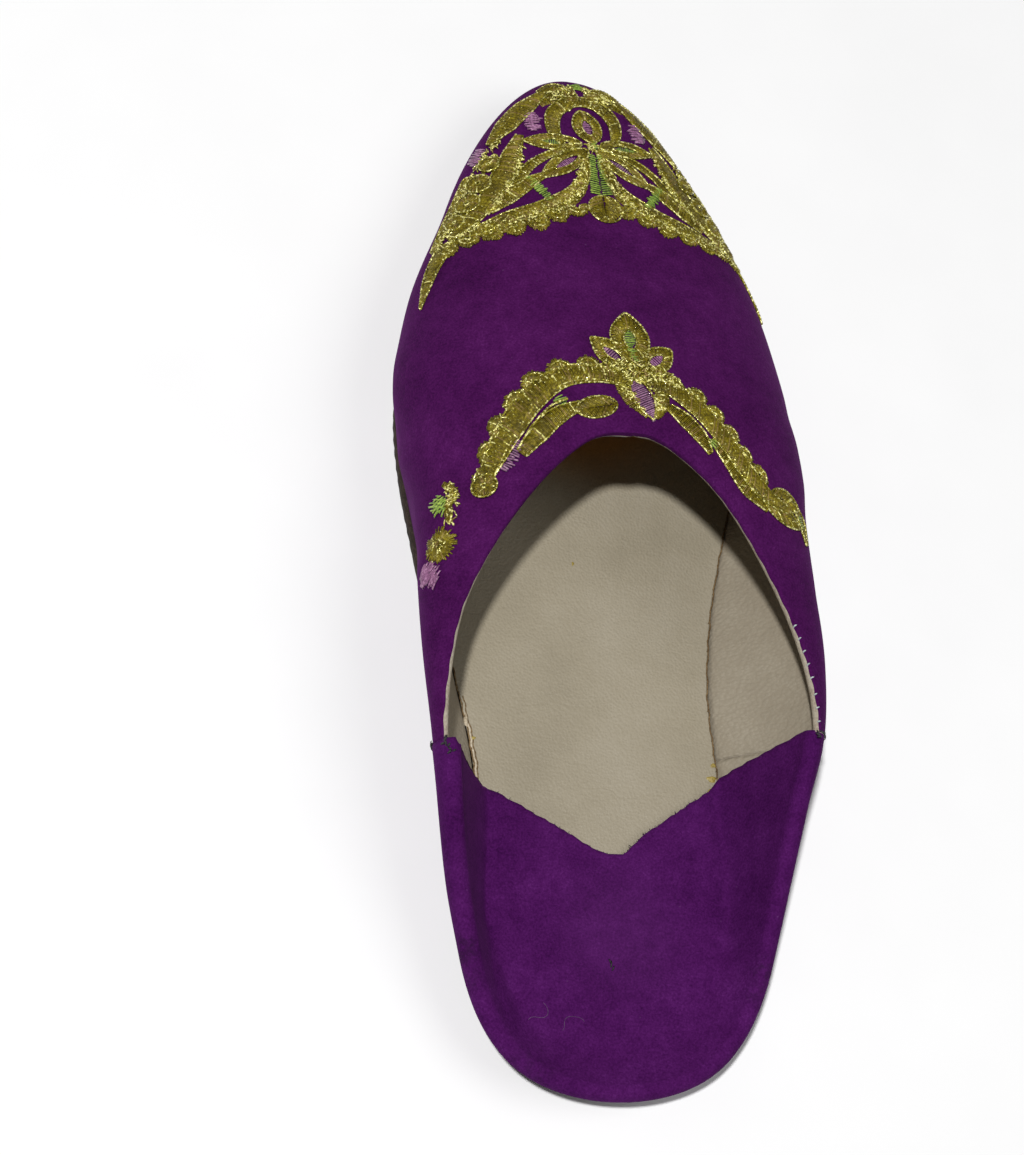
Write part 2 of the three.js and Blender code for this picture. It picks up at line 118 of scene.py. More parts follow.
def along(column, unit):
    """A smooth curve through one column of LAST, in units of one size."""
    at = COLUMNS.index(column)
    ys = np.array([(row[0] / 100 - 0.5) * LENGTH for row in LAST])
    values = np.array([row[at] * unit for row in LAST])
    before, after = np.maximum(np.arange(len(ys)) - 1, 0), np.minimum(np.arange(len(ys)) + 1, len(ys) - 1)
    slope = (values[after] - values[before]) / (ys[after] - ys[before])

    def curve(y):
        y = np.clip(y, ys[0], ys[-1])
        i = np.clip(np.searchsorted(ys, y) - 1, 0, len(ys) - 2)
        span = ys[i + 1] - ys[i]
        t = (y - ys[i]) / span
        rise = values[i] + (values[i + 1] - values[i]) * (3 * t**2 - 2 * t**3)
        lean = (t**3 - 2 * t**2 + t) * slope[i] + (t**3 - t**2) * slope[i + 1]
        return rise + lean * span

    return curve


sole_width = {-1: along("soleOut", BALL_WIDTH / 100), 1: along("soleIn", BALL_WIDTH / 100)}
upper_width = {-1: along("wideOut", BALL_WIDTH / 100), 1: along("wideIn", BALL_WIDTH / 100)}
wide_z = along("wideZ", INSTEP_HEIGHT / 100)
crown = along("crown", INSTEP_HEIGHT / 100)
turn_rise = along("turn", SEAM_HEIGHT - HEEL_HEIGHT)


def smooth(t):
    t = np.clip(t, 0, 1)
    return t * t * (3 - 2 * t)


def sin_deg(a):
    return np.sin(np.radians(a))


def cos_deg(a):
    return np.cos(np.radians(a))


def unit(vectors):
    """The same directions with length 1, and none where there is no direction."""
    return vectors / np.maximum(np.linalg.norm(vectors, axis=-1, keepdims=True), 1e-9)


def sideways(way):
    """Directions in the plane, turned a quarter to the left."""
    return np.stack([-way[..., 1], way[..., 0]], -1)


def spread(values, count):
    """A short list of values spread evenly over a number of places."""
    values = np.atleast_1d(values)
    return np.interp(np.linspace(0, 1, count), np.linspace(0, 1, len(values)), values)


def length_of(path):
    return np.linalg.norm(np.diff(path, axis=0), axis=1).sum()


def outline(width, length, a, side, inset):
    """Plan outline at ellipse angle a (0 heel, 180 toe), moved inwards by inset."""
    a = np.asarray(a, float)

    def at(angle):
        y = -length / 2 * cos_deg(angle)
        return np.stack([side * width[side](y) * sin_deg(angle), y], -1)

    step = 0.5
    inward = sideways(unit(at(np.minimum(a + step, 180)) - at(np.maximum(a - step, 0)))) * side
    end = (a <= 0) | (a >= 180)
    inward[end] = 0
    inward[..., 1][end] = np.where(a[end] <= 0, 1, -1)
    point = at(a) + inward * np.asarray(inset, float)[..., None]
    point[..., 0][end] = 0
    return point


def sole_ring(a, side, inset):
    return outline(sole_width, SOLE_LENGTH, a, side, inset)


def wide_ring(a, side, inset):
    return outline(upper_width, LENGTH, a, side, inset)


def angle_at(y):
    return np.degrees(np.arccos(np.clip(-2 * np.asarray(y, float) / LENGTH, -1, 1)))


def sole_bottom(y):
    y = np.asarray(y, float)
    lift = LIFT_FRONT + (LIFT_BACK - LIFT_FRONT) * (LIFT_FRONT_Y - y) / (LIFT_FRONT_Y + SOLE_LENGTH / 2)
    step = LIFT_FRONT * (1 - smooth((y - LIFT_FRONT_Y) / (FLAT_START_Y - LIFT_FRONT_Y)))
    toe = TOE_SPRING * np.maximum(0, (y - FLAT_END_Y) / (SOLE_LENGTH / 2 - FLAT_END_Y)) ** TOE_POWER
    return np.where(y < LIFT_FRONT_Y, lift, np.where(y < FLAT_START_Y, step, toe))


def foot_z(y):
    return sole_bottom(y) + OUTSOLE_THICK + GAP


def insole_top(y):
    return foot_z(y) + INSOLE_THICK


def flap_top(y):
    return insole_top(y) + GAP + WALL


def wall_point(a, side, u):
    """The outside of the side wall: u is 0 at the sole and 1 at the widest line."""
    foot = sole_ring(a, side, LEDGE + 0 * a)
    wide = wide_ring(a, side, 0 * a)
    p = foot + (wide - foot) * sin_deg(90 * u)[..., None]
    low, high = foot_z(foot[..., 1]), wide_z(wide[..., 1])
    return np.stack([p[..., 0], p[..., 1], low + (high - low) * (1 - (1 - u) ** WALL_POWER)], -1)


def crown_point(a, side, t):
    """The outside of the arch: t is 0 at the widest line and 1 on the middle line."""
    wide = wide_ring(a, side, 0 * a)
    t = np.clip(t, 0, 1)
    x = wide[..., 0] * np.maximum(cos_deg(90 * t), 0) ** (2 / CROWN_POWER)
    rise = crown(wide[..., 1]) * sin_deg(a) * sin_deg(90 * t) ** (2 / CROWN_POWER)
    x = np.where(t >= 1, 0, x)
    return np.stack([x, wide[..., 1], wide_z(wide[..., 1]) + rise], -1)


def upper_surface(a, side, s):
    """s runs from 0 to 1 up the wall, and from 1 to 2 over the arch."""
    a, s = np.broadcast_arrays(np.asarray(a, float), np.asarray(s, float))
    low = wall_point(a, side, np.clip(s, 0, 1))
    high = crown_point(a, side, s - 1)
    return np.where((s < 1)[..., None], low, high)


# ------------------------------------------------------------------ making meshes
WELD, TINY_EDGE = 2e-6, 1e-7  # in metres


class Form:
    """Points and faces of one piece, in millimetres in the last's frame, until it becomes a mesh."""

    def __init__(self):
        self.points, self.faces, self.materials, self.count = [], [], [], 0

    def add(self, points, faces, material=0):
        points = np.asarray(points, float).reshape(-1, 3)
        self.points.append(points)
        faces = np.asarray(faces) + self.count
        self.faces.extend(faces.tolist())
        self.materials.extend([material] * len(faces))
        self.count += len(points)

    def grid(self, points, material=0, flip=False):
        """A sheet of quads over an array of rows and columns."""
        rows, columns = points.shape[:2]
        index = np.arange(rows * columns).reshape(rows, columns)
        quads = np.stack([index[:-1, :-1], index[1:, :-1], index[1:, 1:], index[:-1, 1:]], -1)
        quads = quads.reshape(-1, 4)
        self.add(points, quads[:, ::-1] if flip else quads, material)

    def make(self, name, material_slot, materials):
        """The finished object in metres, riding on the one body."""
        points = np.concatenate(self.points) - [MIDDLE_SHIFT, 0, 0]
        mesh = bpy.data.meshes.new(name)
        mesh.from_pydata((points * MM).tolist(), [], self.faces)
        for material in materials:
            mesh.materials.append(material)
        mesh.polygons.foreach_set("material_index", self.materials)
        mesh.polygons.foreach_set("use_smooth", [True] * len(self.faces))
        form = bmesh.new()
        form.from_mesh(mesh)
        bmesh.ops.remove_doubles(form, verts=form.verts, dist=WELD)
        bmesh.ops.dissolve_degenerate(form, edges=form.edges, dist=TINY_EDGE)
        bmesh.ops.recalc_face_normals(form, faces=form.faces)
        form.to_mesh(mesh)
        form.free()
        piece = bpy.data.objects.new(name, mesh)
        bpy.context.collection.objects.link(piece)
        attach(piece, "root")
        return piece


def normals_of(points):
    """Unit normals of a grid of points: rows crossed with columns."""
    return unit(np.cross(np.gradient(points, axis=0), np.gradient(points, axis=1)))


def tube(points, aside, up, radii):
    """The skin round a line of points, with a row of radii for each of its sides."""
    rings = []
    for k, thick in enumerate(radii):
        angle = 2 * math.pi * k / len(radii)
        high, wide = thick * math.sin(angle), thick * math.cos(angle)
        rings.append(points + up * high[:, None] + aside * wide[:, None])
    return np.stack(rings + rings[:1], 1)


def spline(points, count):
    """Catmull-Rom through a list of points, count steps in all, as THREE.SplineCurve has it."""
    points = np.asarray(points, float)
    last = len(points) - 1
    t = np.linspace(0, last, count + 1)
    i = np.minimum(t.astype(int), last - 1)
    w = (t - i)[:, None]
    p0, p1 = points[np.maximum(i - 1, 0)], points[i]
    p2, p3 = points[i + 1], points[np.minimum(i + 2, last)]
    v0, v1 = (p2 - p0) / 2, (p3 - p1) / 2
    cubic = 2 * p1 - 2 * p2 + v0 + v1
    square = -3 * p1 + 3 * p2 - 2 * v0 - v1
    return cubic * w**3 + square * w**2 + v0 * w + p1


def evenly(points, count):
    """The same path with count + 1 points at equal steps along it."""
    points = np.asarray(points, float)
    steps = np.linalg.norm(np.diff(points, axis=0), axis=1)
    run = np.concatenate([[0], np.cumsum(steps)])
    at = np.linspace(0, run[-1], count + 1)
    return np.stack([np.interp(at, run, points[:, k]) for k in range(points.shape[1])], -1)


# ------------------------------------------------------------------ creases and the girth chart
# Soft troughs (depth below 0) and ridges, from one place to another, as the distance up from the foot of the
# wall and y, on one side of the foot.
CREASES = [
    # side, up, y, up, y, width, depth
    (-1, 8, 31, 40, 25, 3.5, -0.5),
    (-1, 6, 22, 44, 13, 3.0, 0.45),
    (-1, 5, 12, 38, 5, 3.5, -0.45),
    (-1, 12, -2, 34, -10, 4.5, -0.4),
    (-1, 8, 44, 30, 40, 5.0, 0.35),
    (1, 10, 36, 38, 30, 4.0, -0.35),
    (1, 8, 20, 36, 12, 4.5, 0.3),
    (1, 10, -6, 30, -14, 4.5, -0.4),
    (-1, 56, 66, 60, 40, 9.0, 0.3),
    (1, 50, 62, 58, 36, 9.0, -0.3),
    (-1, 6, 86, 26, 78, 6.0, -0.3),
    (1, 6, 82, 26, 74, 6.0, -0.3),
]


def creases(side, up, y):
    """How far the leather stands out of its plain form, in millimetres."""
    out = np.zeros(np.broadcast(up, y).shape)
    for row_side, up0, y0, up1, y1, width, depth in CREASES:
        if row_side != side:
            continue
        run = np.array([up1 - up0, y1 - y0])
        t = np.clip(((up - up0) * run[0] + (y - y0) * run[1]) / (run @ run), 0, 1)
        off = np.hypot(up - up0 - t * run[0], y - y0 - t * run[1])
        out += depth * np.exp(-((off / width) ** 2)) * np.sin(math.pi * np.clip(0.15 + 0.7 * t, 0, 1))
    slow = 0.16 * np.sin(up / 9.0 + y / 14.0 + side) + 0.12 * np.sin(y / 8.0 - up / 17.0)
    return out + slow * smooth(up / 10)


def run_up(points):
    """Distance up from the foot along each row of a grid."""
    step = np.linalg.norm(np.diff(points, axis=1), axis=-1)
    return np.concatenate([np.zeros((len(points), 1)), np.cumsum(step, axis=1)], 1)


def upper_skin(side, a, s):
    """Points and outward normals of the suede, creases included, on a grid of stations and steps."""
    a, s = np.broadcast_arrays(a, s)
    points = upper_surface(a, side, s)
    normal = normals_of(points) * side
    normal[np.linalg.norm(normal, axis=-1) < 0.5] = [0, 1, 0]
    normal[..., 0][(s >= 2) | (a >= 180)] = 0
    normal = unit(normal)
    fade = smooth((180 - a) / 12) * smooth((2 - s) / 0.12 + (s < 1))
    points = points + normal * (creases(side, run_up(points), points[..., 1]) * fade)[..., None]
    return points, normal


def arch_end(a, side, half_width):
    share = np.clip(half_width / np.abs(wide_ring(a, side, 0 * a)[..., 0]), 0, 1)
    return 1 + np.degrees(np.arccos(share ** (CROWN_POWER / 2))) / 90


def seam_y(side):
    x = side * upper_width[side](SEAM_Y) * sin_deg(angle_at(SEAM_Y))
    return SEAM_Y + SEAM_SKEW * x


def rim_line(side, count=110):
    """The throat's edge as half-widths and y, from the side seam to the front."""
    line = spline([(row[1 if side < 0 else 2], row[0]) for row in THROAT], 400)
    start = seam_y(side) + 0.05
    line = line[line[:, 1] > start]
    line[0, 1] = start
    return evenly(line, count)


WALL_STEPS, CROWN_STEPS, CLOSED_STEPS = 16, 46, 110
RIM_BULGE = 0.5
RIM_STEPS = 4  # steps across the turned suede, and again across the lining's cut edge
RIM_TURNS = {-1: (0.1, 0.3, 0.75, 0.85), 1: (0.15, 0.3, 0.6, 0.8)}  # the suede's share, from seam to front


def upper_grid(side):
    """Stations and steps of one side of the upper, open at the throat."""
    rim = rim_line(side)
    opened = angle_at(rim[:, 1])
    closed = np.linspace(opened[-1], 180, CLOSED_STEPS)[1:]
    a = np.concatenate([opened, closed])
    end = np.concatenate([arch_end(opened, side, rim[:, 0]), np.full(len(closed), 2.0)])
    end[len(opened) - 1] = 2
    wall = np.linspace(0, 1, WALL_STEPS, endpoint=False)
    arch = 1 + (end[:, None] - 1) * np.linspace(0, 1, CROWN_STEPS + 1)[None]
    s = np.concatenate([np.broadcast_to(wall, (len(a), WALL_STEPS)), arch], 1)
    return a[:, None], s, len(opened)


def make_upper(suede, lining, edge):
    """Suede outside, lining inside, and the cut edge of both at the throat."""
    form = Form()
    for side in (-1, 1):
        a, s, opened = upper_grid(side)
        outside, normal = upper_skin(side, a, s)
        inside = outside - normal * WALL
        inside[..., 2][:, 0] = np.minimum(inside[..., 2][:, 0], outside[..., 2][:, 0])
        form.grid(outside, 0, flip=side > 0)
        form.grid(inside, 1, flip=side < 0)
        form.grid(np.stack([outside[:, 0], inside[:, 0]], 1), 1, flip=side < 0)
        turned = (spread(RIM_TURNS[side], opened) + 0.05 * np.sin(np.linspace(0, 90, opened)))[:, None]
        step = np.linspace(0, 1, RIM_STEPS + 1)
        share = np.concatenate([turned * step, turned + (1 - turned) * step[1:]], 1)[..., None]
        bulge = unit(outside[:opened, -1:] - outside[:opened, -2:-1]) * RIM_BULGE
        rim = outside[:opened, -1:] * (1 - share) + inside[:opened, -1:] * share
        rim = rim + bulge * (1 - (2 * share - 1) ** 2)
        form.grid(rim[:, :RIM_STEPS + 1], 0, flip=side > 0)
        form.grid(rim[:, RIM_STEPS:], 2, flip=side > 0)
        form.grid(np.stack([outside[0], inside[0]], 1), 2, flip=side > 0)
    piece = form.make("upper_shell", "suede", [suede, lining, edge])
    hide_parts("upper")


# ------------------------------------------------------------------ the folded back
def fold_point(side, kind, q, a):
    """The leather's outside, from the sole up the wall, over the rim and down on to the insole."""
    if kind == "wall":
        return wall_point(a, side, q + 0 * a)
    wide = wide_ring(a, side, 0 * a)
    y = wide[..., 1]
    scale = np.maximum(sin_deg(a), HEEL_ARCH)
    across, high = upper_width[side](y) * scale, crown(y) * scale
    start = HEEL_HEIGHT + turn_rise(y) - wide_z(y)
    share = turn_rise(y) / (SEAM_HEIGHT - HEEL_HEIGHT)

    def side_inset(z):
        return across * (1 - (1 - (z / high) ** CROWN_POWER) ** (1 / CROWN_POWER))

    if kind == "side":
        inset, z = side_inset(start * q), wide_z(y) + start * q
    else:
        lean = np.arctan2(side_inset(start) - side_inset(start - 0.1), 0.1)
        middle_inset = side_inset(start) + FOLD_RADIUS * np.cos(lean)
        middle_z = wide_z(y) + start - FOLD_RADIUS * np.sin(lean)
        leave = np.radians(FOLD_TURN + (180 - FOLD_TURN) * share)
        turn = lean + (leave - lean) * (q if kind == "fold" else 1)
        inset = middle_inset - FOLD_RADIUS * np.cos(turn)
        z = middle_z + FOLD_RADIUS * np.sin(turn)
    if kind in ("slope", "flat"):
        edge = sole_ring(a, side, LEDGE + WALL + GAP + 0 * a)
        reach = np.maximum(np.linalg.norm(wide - edge, axis=-1) + CREASE_INSET,
                           inset + SLOPE_RUN + (SEAM_RUN - SLOPE_RUN) * share)
        low = flap_top(wide_ring(a, side, reach)[..., 1])
        down = q if kind == "slope" else 1
        z = low + (z - low) * (1 - down) ** SLOPE_POWER
        inset = inset + (reach - inset) * down
    at = wide_ring(a, side, inset)
    x = at[..., 0] * (1 - q) if kind == "flat" else at[..., 0]
    return np.stack([x, at[..., 1], z], -1)


FOLD_STEPS = {"wall": 12, "side": 6, "fold": 12, "slope": 16, "flat": 24}
FOLD_COLUMNS = [(kind, q) for kind, steps in FOLD_STEPS.items()
                for q in np.linspace(0, 1, steps, endpoint=False)]
FOLD_COLUMNS.append(("flat", 1.0))
FOLD_ROWS = 130
SLOPE_START, FLAT_START = (next(i for i, (kind, _) in enumerate(FOLD_COLUMNS) if kind == first)
                           for first in ("slope", "flat"))


def fold_front(x):
    """Where the folded leather's front edge lies across the foot."""
    line = spline(FOLD_EDGE, 300)
    return np.interp(x, line[:, 0], line[:, 1])


def fold_grid(side):
    """The folded leather's outside. Every column ends at the seam or at the V."""
    last = angle_at(seam_y(side) - 0.05)
    search = np.linspace(0, last, 300)
    columns = []
    for kind, q in FOLD_COLUMNS:
        end = last
        if kind in ("slope", "flat") or (kind == "fold" and q > 0.55):
            path = fold_point(side, kind, q, search)
            past = path[:, 1] > fold_front(path[:, 0])
            if past.any():
                end = search[past.argmax()]
        columns.append(fold_point(side, kind, q, np.linspace(0, 1, FOLD_ROWS) * end))
    return np.stack(columns, 1)


# Where the insole's edge shows through the folded leather: y, then out on the outer and the inner side.
INSOLE_EDGE = np.array([(-120, 24, 24), (-95, 27, 28), (-75, 26, 27.5), (-55, 25.5, 27)])


def dents(points):
    """Where the folded leather follows the insole's edge, and where heels have pressed it."""
    x, y = points[..., 0], points[..., 1]
    edges = 0
    for side, column in ((-1, 1), (1, 2)):
        off = side * x - np.interp(y, INSOLE_EDGE[:, 0], INSOLE_EDGE[:, column])
        for depth, place, width in ((-0.28, 1.0, 1.3), (0.2, -1.6, 1.6)):
            edges = edges + depth * np.exp(-(((off - place) / width) ** 2))
    hollow = -0.35 * np.exp(-((x / 15) ** 2) - (((y + 96) / 17) ** 2))
    slow = 0.1 * np.sin(x / 5.5 + y / 9) + 0.08 * np.sin(y / 5 - x / 11)
    return edges * smooth((y + 118) / 14) + hollow + slow


def make_folded_back(suede, lining, edge):
    form = Form()
    for side in (-1, 1):
        outside = fold_grid(side)
        normal = normals_of(outside) * side
        normal[:, -1, 0] = 0
        normal[0, :, 0] = 0
        normal[0, FLAT_START:] = [0, 0, 1]
        outside[..., 2] += dents(outside) * smooth((np.arange(len(FOLD_COLUMNS)) - SLOPE_START) / 10)
        inside = outside - unit(normal) * WALL
        form.grid(outside, 0, flip=side > 0)
        form.grid(inside, 1, flip=side < 0)
        form.grid(np.stack([outside[:, 0], inside[:, 0]], 1), 1, flip=side < 0)
        share = np.array([0, 0.3, 0.7, 1])[None, :, None]
        front = outside[-1][:, None] * (1 - share) + inside[-1][:, None] * share
        form.grid(front, 2, flip=side < 0)
    piece = form.make("folded_back_leather", "suede", [suede, lining, edge])
    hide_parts("folded_back")


# ------------------------------------------------------------------ insole, outsole and heel lift
def lining_ring(a, side, height):
    """Where the lining stands at a height over the sole's ledge, as x and y round the foot."""
    skin, normal = upper_skin(side, a[:, None], np.linspace(0, 1, 40)[None])
    inside = skin - normal * WALL
    z = height(inside[:, 0, 1])
    x = [side * np.interp(level, row[:, 2], np.abs(row[:, 0])) for level, row in zip(z, inside)]
    plain = sole_ring(a, side, LEDGE + WALL + 0 * a)
    share = smooth((a - 14) / 12) * smooth((158 - a) / 20)
    reach = np.clip(np.abs(x) - np.abs(plain[:, 0]), 0, 2.5) * share
    return plain + np.stack([side * reach, 0 * reach], 1)


PLATE_COLUMNS = 30


def plate_grid(side, stations, rows):
    """The edge of a plate, given as inset and height rows, and then on to the middle line."""
    edge = [np.concatenate([ring, z(ring[:, 1])[:, None]], 1) for ring, z in
            ((sole_ring(stations, side, inset + 0 * stations), z) for inset, z in rows)]
    last = edge[-1]
    for q in np.linspace(1, 0, PLATE_COLUMNS + 1)[1:]:
        edge.append(last * [q, 1, 1])
    return np.stack(edge, 1)


def raised(height, by):
    return lambda y: height(y) + by


SOLE_ROUGH = 0.05
ROUNDED = 0.985  # the insole's top edge turns in by this share of its reach


def make_insole(leather, board):
    inset = LEDGE + WALL - 0.25
    stations = np.linspace(0, 180, 200)
    low = [(inset, raised(foot_z, 1.2)), (inset, foot_z)]
    high = [(inset, raised(foot_z, 1.2)), (inset, raised(insole_top, 0.10)),
            (inset + 0.7, raised(insole_top, 0.06)), (inset + 1.4, insole_top)]
    form = Form()
    for side in (-1, 1):
        meet = lining_ring(stations, side, insole_top)
        under, over = plate_grid(side, stations, low), plate_grid(side, stations, high)
        over[:, 1, :2] = meet
        over[:, 2, :2] = meet * ROUNDED
        form.grid(under, 1, flip=side < 0)
        form.grid(over, 0, flip=side > 0)
    piece = form.make("insole_leather", "lining_leather", [leather, board])
    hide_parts("insole")


def make_outsole(leather):
    stations = np.linspace(0, 180, 360)
    middle = (0, raised(sole_bottom, OUTSOLE_THICK / 2))
    low = [middle, (0, raised(sole_bottom, 0.6)), (0.25, raised(sole_bottom, 0.15)), (0.8, sole_bottom)]
    high = [middle, (0, raised(sole_bottom, OUTSOLE_THICK - 0.3)), (0.4, raised(sole_bottom, OUTSOLE_THICK))]
    form = Form()
    for side in (-1, 1):
        for rows, flip in ((low, side < 0), (high, side > 0)):
            points = plate_grid(side, stations, rows)
            x, y = points[..., 0], points[..., 1]
            rough = SOLE_ROUGH * (np.sin(y * 1.9 + side) + np.sin(y * 4.3 + 2 * side))
            x += rough * np.sign(x) * (np.abs(x) > 3)
            form.grid(points, flip=flip)
    piece = form.make("outsole_leather", "sole_leather", [leather])
    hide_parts("outsole")


def make_heel_lift(leather):
    last = float(np.degrees(np.arccos(-2 * LIFT_FRONT_Y / SOLE_LENGTH)))
    stations = np.linspace(0, last, 200)
    top = raised(sole_bottom, -0.05)
    rows = [(0.2, top), (0.4, raised(top, -0.35)), (1.1, lambda y: 0.5 * top(y)),
            (1.9, lambda y: 0.25 + 0 * y), (2.3, lambda y: 0 * y)]
    form = Form()
    for side in (-1, 1):
        under = plate_grid(side, stations, rows)
        cover = plate_grid(side, stations, rows[:1])
        form.grid(under, 0, flip=side < 0)
        form.grid(cover, 0, flip=side > 0)
        loop = np.concatenate([under[-1], cover[-1][::-1][:-1]])
        form.add(loop, [range(len(loop))], 0)
    piece = form.make("heel_lift_leather", "lift_leather", [leather])
    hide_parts("heel_lift")


# ------------------------------------------------------------------ the leather as a chart
# A place on the leather is (g, y) in millimetres: g runs round the foot from the middle of the instep,
# below 0 on the outer side.
CHART_STEP = 0.5
CHART_G = np.arange(-95, 95.1, CHART_STEP)
CHART_Y = np.arange(-52, 125.1, CHART_STEP)


def make_chart():
    a = angle_at(CHART_Y)[:, None]
    points = np.zeros((len(CHART_Y), len(CHART_G), 3))
    normals = np.zeros_like(points)
    for side in (-1, 1):
        skin, normal = upper_skin(side, a, np.linspace(0, 2, 300)[None])
        run = run_up(skin)
        girth = run[:, -1:] - run
        mine = CHART_G * side >= 0
        for row in range(len(CHART_Y)):
            for k in range(3):
                at = np.abs(CHART_G[mine])
                points[row, mine, k] = np.interp(at, girth[row, ::-1], skin[row, ::-1, k])
                normals[row, mine, k] = np.interp(at, girth[row, ::-1], normal[row, ::-1, k])
    return points, normals


CHART = make_chart()


def leather(place):
    """Points and outward normals on the leather at an array of places."""
    column = np.clip((place[..., 0] - CHART_G[0]) / CHART_STEP, 0, len(CHART_G) - 1.001)
    row = np.clip((place[..., 1] - CHART_Y[0]) / CHART_STEP, 0, len(CHART_Y) - 1.001)
    i, j = row.astype(int), column.astype(int)
    v, u = (row - i)[..., None], (column - j)[..., None]
    found = []
    for table in CHART:
        low = table[i, j] * (1 - u) + table[i, j + 1] * u
        high = table[i + 1, j] * (1 - u) + table[i + 1, j + 1] * u
        found.append(low * (1 - v) + high * v)
    return found[0], unit(found[1])


# ------------------------------------------------------------------ threads
THREAD, THREAD_DEEP = 0.44, 0.24  # one stitch's width and depth
CLEAR, SUNK = 0.16, 0.12  # how high a stitch stands over the leather, and how deep its ends go in
ALONG = np.array([0, 0.07, 0.28, 0.5, 0.72, 0.93, 1])  # where a stitch is sampled
CORD_STEP, CORD_SIDES, CORD_TWIST = 0.26, 5, 0.28
SEED = 1.3  # length of a short stitch
PETAL_SLANT = 6  # how many stitches a leaf's far ends run ahead
GOLD, CORDS, LILAC, GREEN = Form(), Form(), Form(), Form()


def stitches(form, starts, ends, pad=0.35, thread=THREAD, low=0.0, ragged=0.22, shades=(0.88, 0.91)):
    """Closed, three-sided threads from starts to ends, arched over their padding."""
    count = len(starts)
    way = unit(ends - starts)
    starts = starts - way * random.uniform(-0.6, 1, (count, 1)) * ragged
    ends = ends + way * random.uniform(-0.6, 1, (count, 1)) * ragged
    across = sideways(way) * thread / 2 * random.uniform(0.8, 1.2, (count, 1))
    t = ALONG[None, :, None]
    middle = starts[:, None] * (1 - t) + ends[:, None] * t
    above = (ALONG > 0) & (ALONG < 1)
    arch = np.sqrt(np.maximum(0, 1 - (2 * ALONG - 1) ** 2))
    top = np.where(above, CLEAR + low + pad * arch + random.uniform(-0.05, 0.05, (count, 1)), -SUNK)
    corners = []
    for sign, drop in ((-1, THREAD_DEEP), (0, 0), (1, THREAD_DEEP)):
        points, normal = leather(middle + sign * across[:, None] * above[None, :, None])
        corners.append(points + normal * (top - drop * above)[..., None])
    points = np.stack(corners, 2)
    index = np.arange(points.size // 3).reshape(points.shape[:3])
    round_it = np.roll(index, -1, 2)
    faces = np.stack([index[:, :-1], index[:, 1:], round_it[:, 1:], round_it[:, :-1]], -1)
    faces = faces.transpose(0, 2, 1, 3).reshape(count, -1, 4)
    # each stitch takes its piece's first, second or third material; for gold the second is the painted-glint
    # copy and the third the painted-shade copy
    shade = np.digitize(random.random(count), shades)
    for level in range(3):
        used, place = np.unique(faces[shade == level], return_inverse=True)
        form.add(points.reshape(-1, 3)[used], place.reshape(-1, 4), level)


def at_share(path, share):
    """Places on a path of even steps, at shares of its length."""
    steps = np.linspace(0, 1, len(path))
    return np.stack([np.interp(share, steps, path[:, k]) for k in (0, 1)], 1)


def between(form, first, second, pad=0.35, pitch=0.36, slant=0.0, **more):
    """Satin stitches from one edge to another, both given as paths that run the same way."""
    first, second = evenly(first, 200), evenly(second, 200)
    count = max(3, int(length_of((first + second) / 2) / pitch))
    t = (np.arange(count) + 0.5) / count + random.uniform(-0.12, 0.12, count) / count
    stitches(form, at_share(first, t), at_share(second, t + slant / count), pad, **more)


def cord(path, radius=0.25, lift=0.34, closed=False):
    """A twisted gold cord laid along a path."""
    path = np.asarray(path, float)
    run = length_of(path)
    count = max(6, int(run / CORD_STEP))
    points, normal = leather(evenly(path, count))
    wave = random.uniform(0, 6.28)
    distance = np.linspace(0, run, count + 1)
    whole = np.ones(count + 1)
    if closed:
        round_it = np.roll(points[:-1], -1, 0) - np.roll(points[:-1], 1, 0)
        tangent = np.concatenate([round_it, round_it[:1]])
    else:
        tangent = np.gradient(points, axis=0)
        whole[0] = whole[-1] = 0
    lifts = np.where(whole > 0, lift + 0.05 * np.sin(distance / 1.7 + wave), -0.1)
    radii = [radius * whole * (1 + CORD_TWIST * np.sin(distance * 7.2 + 4 * math.pi * k / CORD_SIDES + wave))
             for k in range(CORD_SIDES)]
    skin = tube(points + normal * lifts[:, None], np.cross(normal, unit(tangent)), normal, radii)
    if closed:
        skin[-1] = skin[0]
    CORDS.grid(skin)


def seeds(path, width, per_mm, low=0.1):
    """A tangle of short gold stitches along a path; two in five take the painted-glint copy and one in ten
    the painted-shade copy.
    """
    path = evenly(spline(path, 60), 60)
    widths = spread(width, 61)
    count = int(length_of(path) * per_mm * widths.mean())
    at = random.uniform(0, 60, count) / 60
    way = at_share(unit(np.gradient(path, axis=0)), at)
    off = random.uniform(-0.5, 0.5, (count, 1)) * np.interp(at, np.linspace(0, 1, 61), widths)[:, None]
    middle = at_share(path, at) + sideways(way) * off
    turn = random.normal(0.9, 0.9, (count, 1))
    aim = way * np.cos(turn) + sideways(way) * np.sin(turn)
    half = aim * random.uniform(0.35, 0.65, (count, 1)) * SEED
    stitches(CORDS, middle - half, middle + half, 0.3, thread=0.4, low=low, shades=(0.50, 0.90))


# ------------------------------------------------------------------ shapes drawn in thread
def offset(spine, distance):
    """The line beside a path, to its left, at a distance for each of its points."""
    return spine + sideways(unit(np.gradient(spine, axis=0))) * distance[:, None]


def bulging(low, high, count):
    """Widths that swell from a low to a high share of half a turn and back."""
    return np.sin(np.linspace(low, high, count) * math.pi)


def ribbon(spine, widths, pad=0.4, outline=True, slant=0.0):
    """A satin band along a spine with its widths at equal steps, corded along both edges."""
    line = evenly(spline(spine, 80), 80)
    half = spread(widths, 81) / 2
    left, right = offset(line, half), offset(line, -half)
    between(GOLD, left, right, pad, slant=slant)
    if outline:
        cord(left)
        cord(right)


